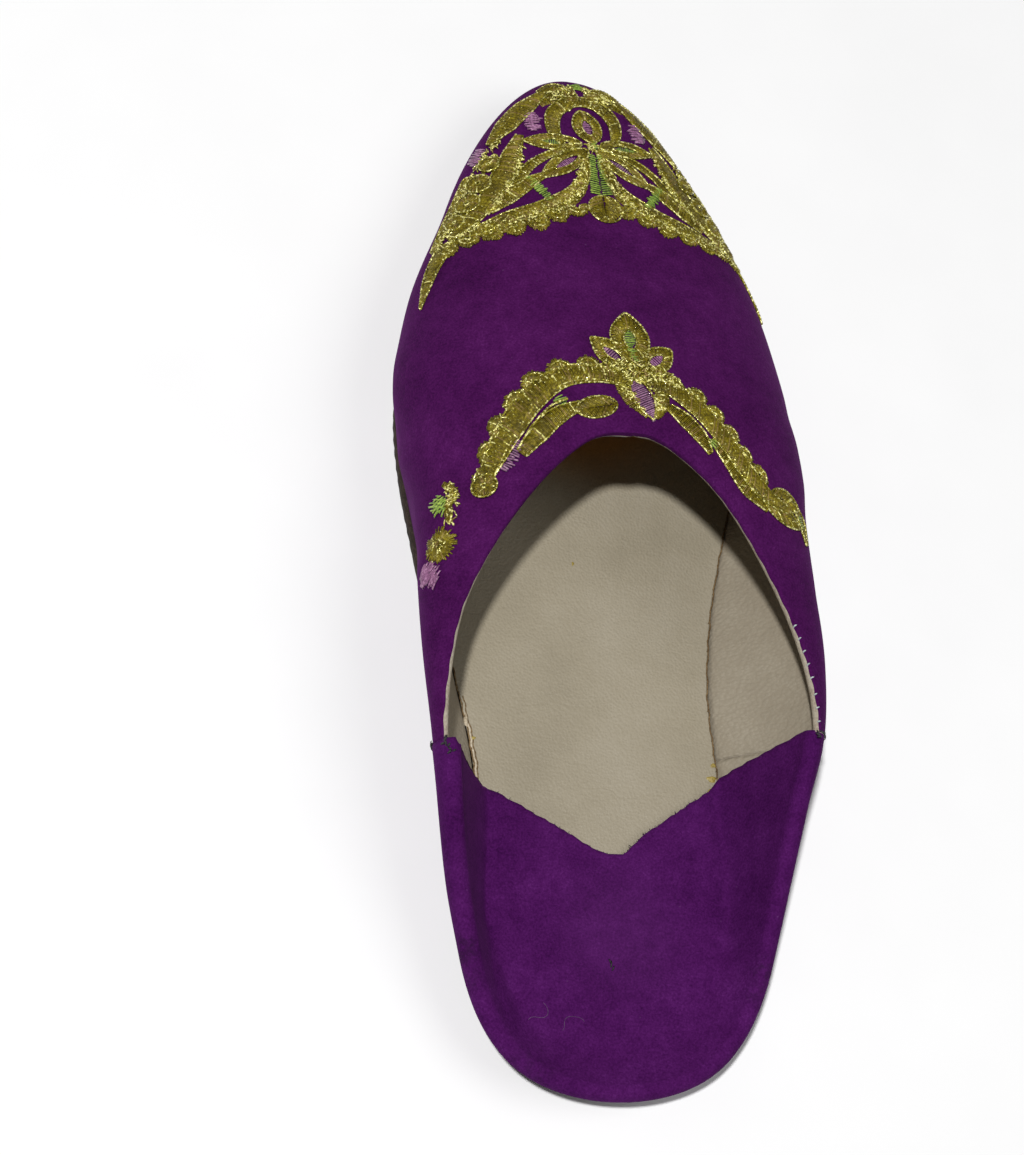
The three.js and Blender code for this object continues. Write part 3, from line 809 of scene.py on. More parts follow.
def oval(centre, along_way, long_half, wide_half, point=0.0):
    """A closed outline round a centre; point above 0 sharpens its far end."""
    t = np.linspace(0, 2 * math.pi, 49)
    side = np.sin(t) * wide_half * (1 - point * np.clip(np.cos(t), 0, 1) ** 2)
    way = unit(np.asarray(along_way, float))
    return centre + np.outer(np.cos(t) * long_half, way) + np.outer(side, sideways(way))


def petal(base, tip, width, core=None, share=0.5, point=0.5, pad=0.45):
    """A leaf from base to tip: satin round a core of another thread, corded round the outside."""
    base, tip = np.array(base), np.array(tip)
    way, middle = tip - base, (base + tip) / 2
    reach = np.linalg.norm(way) / 2
    outside = oval(middle, way, reach, width / 2, point)
    if core is None:
        line = evenly([base, tip], 60)
        half = bulging(0.02, 0.98, 61) ** 0.7 * width / 2
        for edge in (offset(line, half), offset(line, -half)):
            between(GOLD, line, edge, pad * 0.8, slant=PETAL_SLANT)
    else:
        inside = oval(middle - way * 0.04, way, reach * share, width / 2 * share * 0.8, point)
        between(GOLD, inside, outside, pad)
        line = evenly([middle - way * 0.46 * share, middle + way * 0.40 * share], 40)
        half = bulging(0.05, 0.95, 41) * width * 0.42 * share
        between(core, offset(line, half), offset(line, -half), 0.12, pitch=0.5)
        cord(inside, 0.22, 0.4, closed=True)
    cord(outside, closed=True)


def lobes(path, reach, count):
    """Scallops along an edge, to the left of its path, each a fan of stitches with a corded rim."""
    line = evenly(spline(path, 120), 120)
    pitch = length_of(line) / count
    for n, tall in enumerate(spread(reach, count)):
        i = int((n + 0.5) / count * 120)
        way = unit(line[i + 2] - line[i - 2])
        t = np.linspace(-0.25, math.pi + 0.25, 26)
        wide = np.outer(np.cos(t) * (pitch * random.uniform(0.50, 0.56)), way)
        high = np.outer(np.sin(t) * (tall * random.uniform(0.92, 1.08)), sideways(way))
        rim, core = line[i] + wide + high, line[i] + wide * 0.22 + high * 0.3
        between(GOLD, core, rim, 0.5, pitch=0.26, ragged=0.4)
        cord(core + (rim - core) * 0.62, 0.2, 0.62)
        cord(core, 0.26, 0.5)


def curl(centre, radius, core=None):
    """A small ring of satin."""
    outside = oval(centre, (1, 0.2), radius, radius * 0.9)
    inside = oval(centre, (1, 0.2), radius * 0.2, radius * 0.16)
    between(GOLD, inside, outside, 0.5, pitch=0.3, low=0.4)
    cord(outside, 0.28, 0.7, closed=True)
    cord(inside, 0.26, 0.8, closed=True)
    if core:
        patch(core, centre, radius * 0.4, radius * 0.4, 0.3)


def patch(form, centre, wide, high, lean, pitch=0.42, fray=0.6, low=0.25):
    """Parallel stitches side by side, as where another thread shows."""
    rows = max(3, int(2 * high / pitch))
    v = np.linspace(-1, 1, rows)
    half = wide * np.sqrt(np.maximum(0.12, 1 - v**2 * 0.75)) * random.uniform(0.75, 1.1, rows)
    way = np.array([math.cos(lean), math.sin(lean)])
    middle = centre + np.outer(v * high, sideways(way))
    reach = np.outer(half, way) + np.outer(random.normal(0, 0.12, rows) * half, sideways(way))
    stitches(form, middle - reach, middle + reach, 0.2, ragged=fray, thread=0.5, low=low)


# ------------------------------------------------------------------ the toe's pattern
# Places on one half of the pattern are out, the way out from its middle line, and y. The border runs a
# little nearer the toe on the inner side of the foot, by TURN for each millimetre out.
TOE_MIDDLE, STEM_MIDDLE = 0.7, 1.3
TURN = 0.062


def mirrored(side, rows, turn=1.0):
    """Places of the pattern on one side of the foot, with a share of the border's turn."""
    return [(TOE_MIDDLE + side * out, y + turn * TURN * side * out) for out, y in rows]


RIBBONS = [
    # spine, widths from its start to its end, padding, slant, border's turn
    ([(1.9, 97), (3.2, 90.5), (7.2, 85), (14.5, 80.4), (24, 77), (32, 74)],
     (1.4, 2.8, 3.6, 3.8, 3.6, 2.6), 0.6, 2.0, 0.5),
    ([(9, 118.6), (15, 113), (20.6, 107), (25, 101.6)], (1.6, 4.8, 5.2, 1.4), 0.6, 3.0, 0),
    ([(17, 104.5), (19.5, 98.5), (22, 92.5), (25.5, 86.5), (31, 79.5), (38, 74)],
     (1.6, 4.6, 5.4, 5, 4.2, 2.2), 0.6, 3.0, 0.5),
    ([(13, 90.6), (17.5, 87.8), (22.5, 84), (27.5, 80)], (1.4, 4, 4.6, 2.4), 0.5, 2.0, 0.3),
    ([(4, 101), (10.5, 97.6), (15.5, 94), (19, 89.5), (23, 85)], (0.9, 1.7, 2.1, 2.2, 1.6), 0.3, 1.0, 0.2),
    ([(32.6, 92), (35, 87.4), (37.4, 82.6), (40.4, 77.4), (43, 72)], (1.4, 3, 3.8, 3.6, 2), 0.4, 2.0, 0.5),
    ([(38.5, 74.5), (42.5, 69), (45.5, 63), (47.8, 57)], (4.6, 4.4, 3, 0.5), 0.4, 2.0, 1),
    ([(4.5, 112.5), (2.5, 118), (6.5, 120.6), (10.5, 118.4)], (1.2, 3.2, 3.4, 1.4), 0.5, 2.0, 0),
]

PETALS = [
    # base (out, y), tip (out, y), width, core
    ((2.4, 101.3), (16.4, 101.8), 5.0, GREEN),
    ((1.2, 99.4), (13.6, 89.8), 5.4, LILAC),
]

BORDER_REACH = (3.4, 3.8, 3.5, 3.2, 3, 2.4)
BORDER_EDGE = [(3.6, 81.6), (9, 81), (14.5, 78), (21.5, 76), (28, 74.6), (35, 73.6), (41, 71)]
RUFFLE_EDGE = [(30.5, 93.5), (33.5, 88), (36.5, 82.5), (39.5, 77), (41, 73)]
GLITTER = [
    # path (out, y), width from its start to its end
    ([(2.6, 97), (3.6, 91), (6.4, 84.6), (12, 80.6), (20, 77.6), (30, 75.2), (39, 72.6)],
     (1.4, 2.6, 3.4, 3, 2.4, 2, 1.6)),
    ([(23.6, 100), (25, 95.6)], (2, 2)),
    ([(8, 117), (4, 119.6), (1, 120.6)], (3, 3.6, 3.4)),
    ([(17.2, 101), (18.6, 94), (22.4, 86.6), (27, 80.6), (33, 75)], (1.0, 1.4, 1.6, 1.6, 1.2)),
    ([(22, 103.6), (27, 98), (31, 91.4), (34.6, 85), (38.6, 77), (41, 72)], (1.2, 1.6, 1.6, 1.6, 1.4, 1.0)),
]
GROUND = [
    # spine (out, y), widths of the plain satin that lies under the glitter
    ([(2.6, 95), (3.8, 88.6), (8, 83), (16, 79), (25, 76.4), (34, 74.4), (40, 72.4)],
     (1.8, 3.2, 4.6, 4.4, 4, 3.6, 2)),
    ([(27, 94), (30.6, 88), (34.4, 82), (38.4, 76.4)], (1, 2.2, 2.6, 2)),
    ([(1, 119), (6, 118), (11, 115)], (4.6, 4.4, 2.4)),
]
CURLS = [
    # place (out, y), radius
    ((25.6, 94.6), 2.5),
    ((28.8, 88.8), 3.1),
    ((32.2, 83.2), 3.2),
    ((36, 77.8), 2.6),
]
HORSESHOE = [(-6.2, 100.8), (-8.0, 105.5), (-7.2, 111), (-3.4, 115), (1, 116), (5.4, 114.4), (7.9, 110),
             (7.6, 105), (6.2, 102)]


def embroider_toe():
    for side in (-1, 1):
        for spine, widths in GROUND:
            ribbon(mirrored(side, spine, 0.6), widths, 0.12, outline=False)
        for spine, widths, pad, slant, turn in RIBBONS:
            ribbon(mirrored(side, spine, turn), widths, pad, slant=slant)
        for base, tip, width, core in PETALS:
            petal(*mirrored(side, [base, tip], 0), width, core)
        lobes(mirrored(side, BORDER_EDGE)[::-side], BORDER_REACH[::-side], 7)
        lobes(mirrored(side, RUFFLE_EDGE, 0.5)[::side], (2.4, 2.8, 2.4), 4)
        for path, width in GLITTER:
            seeds(mirrored(side, path, 0.6), width, 2.4, low=0.3)
        for place, radius in CURLS:
            curl(mirrored(side, [place], 0)[0], radius)
        patch(GREEN, mirrored(side, [(14.2, 86.2)], 0.5)[0], 1.3, 4.6, math.pi / 2 + side, 0.5)
        patch(LILAC, (TOE_MIDDLE + side * 13.4, 108.2), 2.2, 2.9, 0.1 * side)
        patch(LILAC, (TOE_MIDDLE + side * 28.6, 98.6), 2.4, 2.8, 0.5 * side)
    # the horseshoe over the top petal
    ribbon(HORSESHOE, (1, 3, 3.6, 3.6, 3.2, 3.6, 3.6, 2.8, 1), 0.5)
    petal((1.4, 102.2), (-0.4, 112.6), 7.0, LILAC, share=0.48, point=0.25)
    petal((1.5, 85), (1.6, 76.8), 8.2, None, point=0.0, pad=0.7)
    # the stem: two rows of green rungs with a dark gap
    rungs = np.linspace(97.6, 85.4, 19)
    for side in (-1, 1):
        inner = np.stack([STEM_MIDDLE + side * (0.12 + 0 * rungs), rungs], 1)
        outer = np.stack([STEM_MIDDLE + side * np.linspace(1.7, 2.9, 19), rungs + 0.5], 1)
        stitches(GREEN, inner, outer, 0.15, low=0.3)
    seeds([(0.2, 102.2), (1.2, 100.6), (2.2, 99)], 3.6, 2.4)
    patch(GREEN, (1.6, 101.4), 0.8, 1.0, 0.4)
    patch(GREEN, (0.4, 121.8), 2.4, 1.0, 0)


# ------------------------------------------------------------------ the throat's pattern
OUTER_BAND = [(-1, 29.5), (-8, 30.5), (-15.5, 29.2), (-22.5, 24.2), (-28, 17), (-32, 10), (-35, 3)]
OUTER_LOBES = [(-6, 31.5), (-13.5, 30.8), (-21, 27.6), (-27, 21.5), (-31.5, 14), (-34.2, 7.6), (-35.6, 2)]
INNER_BAND = [(5, 28.6), (10.5, 27.8), (16.5, 23.2), (22, 17), (27, 10.6), (33, 5.6), (40, 3.6)]
INNER_LOBES = [(7.5, 29), (13, 28), (18.5, 24), (23.4, 18), (28, 12.4), (33, 8)]


def embroider_throat():
    # the three leaves at the middle, and the tangle they grow from
    petal((1.4, 34.5), (1.5, 48.8), 9.2, GREEN, share=0.42, point=0.6)
    petal((0.2, 33.0), (-8.0, 40.6), 6.6, LILAC, share=0.5, point=0.6)
    petal((3.6, 32.6), (11.2, 39.4), 6.4, LILAC, share=0.5, point=0.6)
    patch(GREEN, (1.6, 37.2), 0.9, 2.2, 0.2)
    ribbon([(-8, 31.2), (-1, 32), (5, 31.4), (12, 28.6)], (4, 6.4, 6.4, 4), 0.15, outline=False)
    seeds([(-8, 31.4), (-1, 32), (5, 31.4), (12, 29)], (4, 6.4, 6.4, 4), 2.2, low=0.3)
    seeds([(-1.8, 32), (-1.2, 27), (2.2, 21.6)], (4, 2.6, 1.4), 2.2)
    seeds([(5, 31), (6.2, 26), (6, 21.6)], (4, 3.2, 2), 2.2)
    line = evenly([(0.8, 29.6), (4.5, 19.2)], 40)
    half = bulging(0.06, 0.97, 41) ** 0.8 * 2.3
    between(LILAC, offset(line, half), offset(line, -half), 0.3, pitch=0.46, slant=1.4)
    cord(oval((2.6, 24.6), (0.34, -1), 5.6, 2.5, 0.75), closed=True)
    ribbon([(-2.4, 28.4), (-1, 24.4), (3, 20)], (3.4, 2.8, 1), 0.3, outline=False)
    ribbon([(7, 28.4), (7.2, 24), (5.2, 19.8)], (4, 3.4, 1), 0.3, outline=False)

    # outer side
    lobes(OUTER_LOBES[::-1], (2.6, 3.2, 3.6, 4, 4.2, 4), 7)
    ribbon(OUTER_BAND, (3.6, 4.8, 5.2, 6, 6, 5, 2), 0.7, slant=1.0)
    ribbon(offset(evenly(spline(OUTER_BAND, 60), 60), np.full(61, 0.9)), (1.2, 1.6, 1.6, 1.6, 1.2), 0.9)
    petal((-4.0, 22.8), (-13.4, 20.4), 5.4, None, point=0.1)
    ribbon([(-11.8, 22), (-17, 19.6), (-21.6, 15.6), (-26, 10.2)], (2, 4, 4.6, 2.2), 0.5)
    cord(evenly(spline([(-15, 23.4), (-19, 21.4), (-23, 17.2), (-27, 11)], 40), 40), 0.3, 0.6)
    patch(GREEN, (-16.6, 23.0), 2.0, 1.0, 0.5)
    patch(LILAC, (-28, 10), 1.2, 3.6, -0.5, 0.5, 0.9)
    curl((-34.4, 3.6), 2.9, LILAC)

    # outer side, the loose motifs at its end
    for turn in (0.3, 0.9, -0.4):
        patch(GREEN, (-46.4 + turn, 2.0 - turn), 2.1, 1.7, turn, 0.6, 0.9)
    ribbon([(-44.8, 6.6), (-41.8, 3.6), (-43.4, 0.6), (-42.6, -3.4)], (1.2, 2.6, 2.4, 1.6), 0.3,
           outline=False)
    seeds([(-43.8, 6.4), (-42, 2.4), (-43, -4)], (2.2, 3, 2.4), 1.8)
    hub, rim = (oval((-45.5, -8.2), (1, 0.2), 4.2 * share, 4.0 * share) for share in (0.12, 1))
    between(GOLD, hub, rim, 0.4, 0.24, ragged=0.9)
    seeds([(-47, -7), (-45.5, -8.2), (-44, -9)], 2.6, 2.0, low=0.4)
    patch(LILAC, (-48.4, -14.4), 2.9, 3.3, 0.9, 0.44, 1.0)

    # inner side
    lobes(INNER_LOBES, (3, 3, 2.8, 2.6, 2.4), 6)
    ribbon(INNER_BAND, (3, 4.4, 4.6, 4.4, 4.2, 3.6, 1.8), 0.7, slant=1.0)
    ribbon([(8.4, 23.4), (12, 20.6), (15.6, 16.8), (18, 12.8)], (1.8, 3.6, 3.4, 1), 0.4)
    ribbon([(18.4, 16.6), (22.4, 11.4), (27, 5.6), (33, 2.2)], (1.2, 2.4, 2.8, 1.6), 0.4)
    patch(GREEN, (18.6, 15.4), 1.4, 0.9, -0.6)
    petal((34.5, 6.4), (44.6, 5.4), 5.0, None, point=0.3)
    petal((32.5, 3.6), (44.5, 0.6), 4.4, None, point=0.4)
    ribbon([(43, 5.6), (46.2, 2.4), (48, -2.6)], (2.2, 3.2, 0.8), 0.4)
    patch(GREEN, (45.8, 2.6), 0.9, 1.5, 0.4)


def make_embroidery(gold, gold_cord, lilac, green):
    """Every thread of one kind in one piece."""
    embroider_toe()
    embroider_throat()
    GOLD.make("embroidery_gold_satin", "gold_thread", gold)
    CORDS.make("embroidery_gold_cord", "gold_thread", gold_cord)
    LILAC.make("embroidery_lilac", "lilac_thread", lilac)
    GREEN.make("embroidery_green", "green_thread", green)


# ------------------------------------------------------------------ seams, stitches and loose threads
STRAND_SIDES, SEAM_POINTS = 6, 40
UP = np.array([0, 0, 1.0])


def strand(form, points, normals, radius, material=0, wave=0.0):
    """A thread through points in space, closed to a point at both ends."""
    tangent = unit(np.gradient(points, axis=0))
    aside = np.cross(normals, tangent)
    whole = np.ones(len(points))
    whole[0] = whole[-1] = 0
    distance = np.concatenate([[0], np.cumsum(np.linalg.norm(np.diff(points, axis=0), axis=1))])
    radii = [radius * whole * (1 + wave * np.sin(distance * 5 + 4 * math.pi * k / STRAND_SIDES))
             for k in range(STRAND_SIDES)]
    form.grid(tube(points, aside, np.cross(tangent, aside), radii), material)


def short_stitch(form, middle, way, up, length, radius, material=0):
    """One stitch that rises from the leather and goes back in."""
    t = np.linspace(-1, 1, 7)
    points = middle + np.outer(t * length / 2, unit(way)) + np.outer(radius * (1.3 - 2.2 * t**2), up)
    strand(form, points, up, radius, material)


def rim_frame(side):
    """The suede's edge and the lining's at the throat, the way up from them and the way out."""
    a, s, opened = upper_grid(side)
    outside, normal = upper_skin(side, a, s)
    edge, up = outside[:opened, -1], normal[:opened, -1]
    return edge, edge - up * WALL, up, unit(edge - outside[:opened, -2])


def insole_line(side, low, high, inset, lift):
    """A line along the insole's edge between two places along the foot."""
    y = np.linspace(low, high, 160)
    a = np.degrees(np.arccos(np.clip(-2 * y / SOLE_LENGTH, -1, 1)))
    ring = lining_ring(a, side, insole_top)
    ring[:, 0] -= side * inset
    wobble = 0.14 * np.sin(y * 0.9 + side) + 0.08 * np.sin(y * 2.3)
    return np.stack([ring[:, 0] + side * wobble, ring[:, 1], insole_top(ring[:, 1]) + lift], 1)


def seam_line(side, high):
    """Places down the outside of the wall at the side seam, and the way into the leather."""
    a = angle_at(np.full(SEAM_POINTS, seam_y(side) + 0.3))
    s = np.linspace(0.05, high, SEAM_POINTS)
    grid = np.stack([np.clip(s - 0.01, 0, 2), s, np.clip(s + 0.01, 0, 2)], 1)
    here, ahead, back = (upper_surface((a + turn)[:, None], side, grid) for turn in (0, 0.4, -0.4))
    inward = unit(np.cross(ahead[:, 1] - back[:, 1], here[:, 2] - here[:, 0])) * -side
    return here[:, 1] - inward * 0.02, inward


def make_rim_threads(white, dark):
    """Fine white stitches over the cut edge, and a dark strand on the lining just inside that edge, a
    painted shadow line.
    """
    form = Form()
    edge, lining, _, out = rim_frame(1)
    run = np.concatenate([[0], np.cumsum(np.linalg.norm(np.diff(edge, axis=0), axis=1))])
    for i in np.searchsorted(run, np.arange(2.0, 26.0, 3.2)):
        middle = edge[i] * 0.86 + lining[i] * 0.14 + out[i] * 0.22
        along_rim = edge[i + 1] - edge[i]
        way = (lining[i] - edge[i]) * random.uniform(0.8, 1.2) + along_rim * random.uniform(-1.6, -0.6)
        short_stitch(form, middle, way, out[i], random.uniform(1.1, 1.6), 0.2)
    for side in (-1, 1):
        _, lining, up, out = rim_frame(side)
        # painted shadow line: a dark strand on the lining, half a millimetre in from its edge
        line = lining - out * 0.5 - up * 0.02
        strand(form, line[1:-1], -up[1:-1], 0.1, 1, 0.3)
    form.make("rim_threads", "sewing_thread", [white, dark])


GLUE_SPOTS = [
    # side, y, inset, size
    (1, -50.5, 1.4, 1.2),
    (1, -47.2, 0.6, 0.8),
    (1, -53.5, 2.2, 0.9),
    (-1, -44, 0.8, 0.8),
]


def make_insole_seams(tan, glue, cream):
    """The brown thread along the insole's edge, with its knots, and the spots of glue."""
    form = Form()
    for side, low, high in ((1, -66, 26), (-1, -64, 20)):
        strand(form, insole_line(side, low, high, 0.1, 0.16), UP, 0.18, 0, 0.25)
        for y in np.arange(low + 3, high - 2, 7.3):
            place = insole_line(side, y, y + 0.6, 0.3, 0.2)
            way = np.array([side * 0.5, 1.0, 0.0])
            short_stitch(form, place[0], way, UP, random.uniform(0.6, 1.3), 0.12, 0)
    for side, y, off, size in GLUE_SPOTS:
        centre = insole_line(side, y, y + 0.5, off, 0.0)[0]
        form.add(*blob(centre, size, size * 0.7, 0.28), 1)
    form.add(*blob(np.array([-1.9, 1.3, insole_top(1.3)]), 0.3, 0.5, 0.3), 1)
    # outer side: a second line, with a pale strip between, and its loose end
    strand(form, insole_line(-1, -62, -34, 0.95, 0.1), UP, 0.13, 0, 0.3)
    strand(form, insole_line(-1, -62, -38, 0.5, 0.06), UP, 0.3, 2, 0.2)
    tag = insole_line(-1, -41.5, -38.5, 0.4, 0.3)
    form.add(*blob(tag[80], 0.5, 1.6, 0.4), 2)
    form.make("insole_seams", "sewing_thread", [tan, glue, cream])


DOME = ((1.0, -0.15), (0.85, 0.45), (0.5, 0.9), (0.02, 1.0))  # share of the width and of the height


def blob(centre, wide, long_half, high):
    """A low dome with an uneven rim, and its faces."""
    turn = np.linspace(0, 2 * math.pi, 19)[:-1]
    uneven = 1 + 0.15 * np.sin(3 * turn + centre[1]) + 0.1 * np.sin(5 * turn)
    rings = [np.stack([wide * share * uneven * np.cos(turn), long_half * share * uneven * np.sin(turn),
                       high * z + 0 * turn], 1) for share, z in DOME]
    index = np.arange(len(DOME) * len(turn)).reshape(len(DOME), -1)
    ahead = np.roll(index, -1, 1)
    faces = np.stack([index[:-1], ahead[:-1], ahead[1:], index[1:]], -1)
    return (np.stack(rings) + centre).reshape(-1, 3), faces.reshape(-1, 4)


TACKS = [
    # side, place from the suede's edge at 0 to the lining's at 1, how far behind the seam, stitches
    (-1, 0.2, 0.5, 5),
    (-1, 1.1, 2.4, 4),
    (1, 0.3, 0.5, 4),
]


def make_seams(dark):
    """The side seams and the tacks at both ends of the throat."""
    form = Form()
    for side in (-1, 1):
        line, inward = seam_line(side, 1.25 if side > 0 else 1)
        strand(form, line, -inward, 0.22, 0, 0.25)
        for i in range(3, 38, 3):
            way = np.array([0.0, 1.0, 0.25 * side])
            middle = line[i] - inward[i] * 0.05
            short_stitch(form, middle, way, -inward[i], random.uniform(1.4, 2.2), 0.15)
    for side, place, behind, count in TACKS:
        edge, lining, _, _ = rim_frame(side)
        inward = lining[0] - edge[0]
        inward[2] = 0
        for _ in range(count):
            middle = edge[0] + inward * (place + random.uniform(-0.4, 0.4))
            middle = middle + np.array([0, random.uniform(-1.1, 1.1) - behind, 0.45])
            way = np.array([random.uniform(-1, 1), random.uniform(-0.9, 0.9), 0])
            short_stitch(form, middle, way, UP, random.uniform(1.0, 1.9), random.uniform(0.2, 0.3), 0)
    form.make("side_seams", "sewing_thread", [dark])


def flap_z(x, y):
    """Height of the folded leather over the insole near the middle of the heel."""
    return flap_top(y) + dents(np.stack([x, y], -1))


FIBRES, FIBRE_REACH = 260, 27  # how many, and how far from the middle
LINT = [
    # x, y, length, direction of its start
    (-16, -104, 11, -1.3),
    (-12, -110.5, 8, -0.4),
]


def make_flap_threads(dark, fibre, lint):
    """The tack at the middle of the heel, the fibres of the raw V edge and some lint."""
    form = Form()
    for dx, dy, turn, length in ((0, 0, 1.4, 1.9), (0.4, -0.9, 1.1, 1.5), (-0.3, 0.7, 1.9, 1.2)):
        x, y = 0.4 + dx, -95.4 + dy
        middle = np.array([x, y, flap_z(x, y)])
        short_stitch(form, middle, np.array([math.cos(turn), math.sin(turn), 0]), UP, length, 0.2, 0)
    line = evenly(spline(FOLD_EDGE, 200), 400)
    line = line[np.abs(line[:, 0]) < FIBRE_REACH]
    for _ in range(FIBRES):
        x, y = line[random.integers(2, len(line) - 2)]
        turn = random.normal(math.pi / 2, 0.7)
        start = np.array([x, y - 0.3, flap_z(x, y) - random.uniform(0.0, 1.4)])
        reach = random.uniform(0.4, 1.3)
        way = np.array([math.cos(turn), math.sin(turn), random.uniform(-0.3, 0.4)])
        t = np.linspace(0, 1, 5)[:, None]
        points = start + way * reach * t + np.array([0, 0, -0.25]) * t**2
        strand(form, points, UP, random.uniform(0.04, 0.08), 1)
    for x, y, size, turn in LINT:
        t = np.linspace(0, 1, 40)
        angle = turn + 1.5 * np.sin(3.4 * t + x) + 0.5 * np.sin(9 * t)
        x = x + np.cumsum(np.cos(angle)) * size / 40
        y = y + np.cumsum(np.sin(angle)) * size / 40
        points = np.stack([x, y, flap_z(x, y) + 0.12 + 0.1 * np.sin(5 * t)], 1)
        strand(form, points, UP, 0.035, 2)
    form.make("flap_threads", "sewing_thread", [dark, fibre, lint])


# ------------------------------------------------------------------ materials
class Look:
    """A material's node tree, with short calls for the nodes that the materials here share."""

    def __init__(self, name):
        self.material = bpy.data.materials.new(name)
        self.material.use_nodes = True
        self.nodes = self.material.node_tree.nodes
        self.links = self.material.node_tree.links
        self.shader = self.nodes["Principled BSDF"]
        self.place = self.nodes.new("ShaderNodeTexCoord").outputs["Object"]

    def set(self, **values):
        for name, value in values.items():
            self.shader.inputs[name.replace("_", " ")].default_value = value

    def noise(self, scale, detail=3, roughness=0.6, stretch=None):
        node = self.nodes.new("ShaderNodeTexNoise")
        for name, value in (("Scale", scale), ("Detail", detail), ("Roughness", roughness)):
            node.inputs[name].default_value = value
        self.links.new(self.stretched(stretch), node.inputs["Vector"])
        return node.outputs["Fac"]

    def cells(self, scale, stretch=None):
        node = self.nodes.new("ShaderNodeTexVoronoi")
        node.inputs["Scale"].default_value = scale
        self.links.new(self.stretched(stretch), node.inputs["Vector"])
        return node.outputs["Distance"]

    def stretched(self, stretch):
        """Places on the piece, scaled along each axis."""
        if stretch is None:
            return self.place
        node = self.nodes.new("ShaderNodeMapping")
        node.inputs["Scale"].default_value = stretch
        self.links.new(self.place, node.inputs["Vector"])
        return node.outputs["Vector"]

    def ramp(self, value, *stops):
        """Colours, or grey levels, at places from 0 to 1."""
        node = self.nodes.new("ShaderNodeValToRGB")
        elements = node.color_ramp.elements
        while len(elements) < len(stops):
            elements.new(0.5)
        for element, (position, colour) in zip(elements, stops):
            element.position = position
            element.color = (*np.broadcast_to(colour, 3), 1)
        self.links.new(value, node.inputs["Fac"])
        return node.outputs["Color"]

    def mix(self, share, first, second, blend="MIX"):
        node = self.nodes.new("ShaderNodeMix")
        node.data_type = "RGBA"
        node.blend_type = blend
        for place, value in (("Factor", share), (6, first), (7, second)):
            if isinstance(value, bpy.types.NodeSocket):
                self.links.new(value, node.inputs[place])
            else:
                node.inputs[place].default_value = (*value, 1) if isinstance(value, tuple) else value
        return node.outputs[2]

    def sum(self, *parts):
        """Weighted sum of values: pairs of value and weight."""
        total = None
        for value, weight in parts:
            node = self.nodes.new("ShaderNodeMath")
            node.operation = "MULTIPLY_ADD"
            node.inputs[1].default_value = weight
            node.inputs[2].default_value = 0
            self.links.new(value, node.inputs[0])
            if total:
                self.links.new(total, node.inputs[2])
            total = node.outputs[0]
        return total

    def bump(self, height, distance, strength):
        node = self.nodes.new("ShaderNodeBump")
        node.inputs["Distance"].default_value = distance
        node.inputs["Strength"].default_value = strength
        self.links.new(height, node.inputs["Height"])
        self.links.new(node.outputs["Normal"], self.shader.inputs["Normal"])

    def colour(self, value):
        self.links.new(value, self.shader.inputs["Base Color"])

    def rough(self, value):
        self.links.new(value, self.shader.inputs["Roughness"])


def spot(look, x, y, radius):
    """1 at a place seen from above, in millimetres, falling to 0 at the radius."""
    distance = look.nodes.new("ShaderNodeVectorMath")
    distance.operation = "DISTANCE"
    look.links.new(look.stretched((1, 1, 0)), distance.inputs[0])
    distance.inputs[1].default_value = ((x - MIDDLE_SHIFT) * MM, y * MM, 0)
    fall = look.nodes.new("ShaderNodeMapRange")
    fall.interpolation_type = "SMOOTHSTEP"
    fall.inputs["From Min"].default_value = radius * MM
    fall.inputs["From Max"].default_value = 0.2 * radius * MM
    look.links.new(distance.outputs["Value"], fall.inputs["Value"])
    return fall.outputs["Result"]


SMUDGES = [
    # x, y, radius, depth
    (-35, -95, 5, 0.5),
    (-33, -101, 4, 0.3),
    (34, -98, 5, 0.5),
    (32, -103, 4, 0.35),
    (-20, -119, 8, 0.3),
    (45, -70, 6, 0.3),
]


def suede_look(name, tint):
    look = Look(name)
    mottle = look.noise(55, 3, 0.6)
    patch = look.noise(260, 4, 0.65)
    nap = look.noise(1900, 3, 0.75)
    colour = look.ramp(look.sum((mottle, 0.30), (patch, 0.25), (nap, 0.55)),
                       *((place, tuple(np.array(shade) * tint)) for place, shade in
                         ((0.36, (0.026, 0.0018, 0.033)), (0.50, (0.051, 0.0042, 0.061)),
                          (0.62, (0.073, 0.0075, 0.086)), (0.76, (0.110, 0.0160, 0.128)))))
    lint = look.ramp(look.noise(900, 1, 0.4), (0.78, 0), (0.84, 0.25))
    colour = look.mix(lint, colour, (0.17, 0.07, 0.19))
    worn = look.ramp(look.noise(620, 4, 0.7), (0.40, 0), (0.62, 1))
    for x, y, radius, depth in SMUDGES:
        smudge = look.mix(look.sum((spot(look, x, y, radius), depth)), (0, 0, 0), worn)
        colour = look.mix(smudge, colour, (0.012, 0.006, 0.014))
    colour = look.mix(look.sum((spot(look, 3, -88, 20), 0.12)), colour, (0.105, 0.026, 0.130))
    look.colour(colour)
    look.set(Roughness=0.95, Specular_IOR_Level=0.05, Sheen_Weight=0.06, Sheen_Roughness=0.4,
             Sheen_Tint=(0.75, 0.2, 0.85, 1))
    look.bump(look.sum((nap, 0.7), (patch, 0.7)), 0.00022, 0.7)
    return look.material


def painted_toe_shade(look, colour):
    """Painted warm shade: the lining and insole inside the toe, ahead of the throat, made browner where they
    lie in shade. The weight of 3 keeps its edge short.
    """
    return look.mix(look.sum((spot(look, 0, 60, 42), 3)), colour, (0.50, 0.28, 0.10))


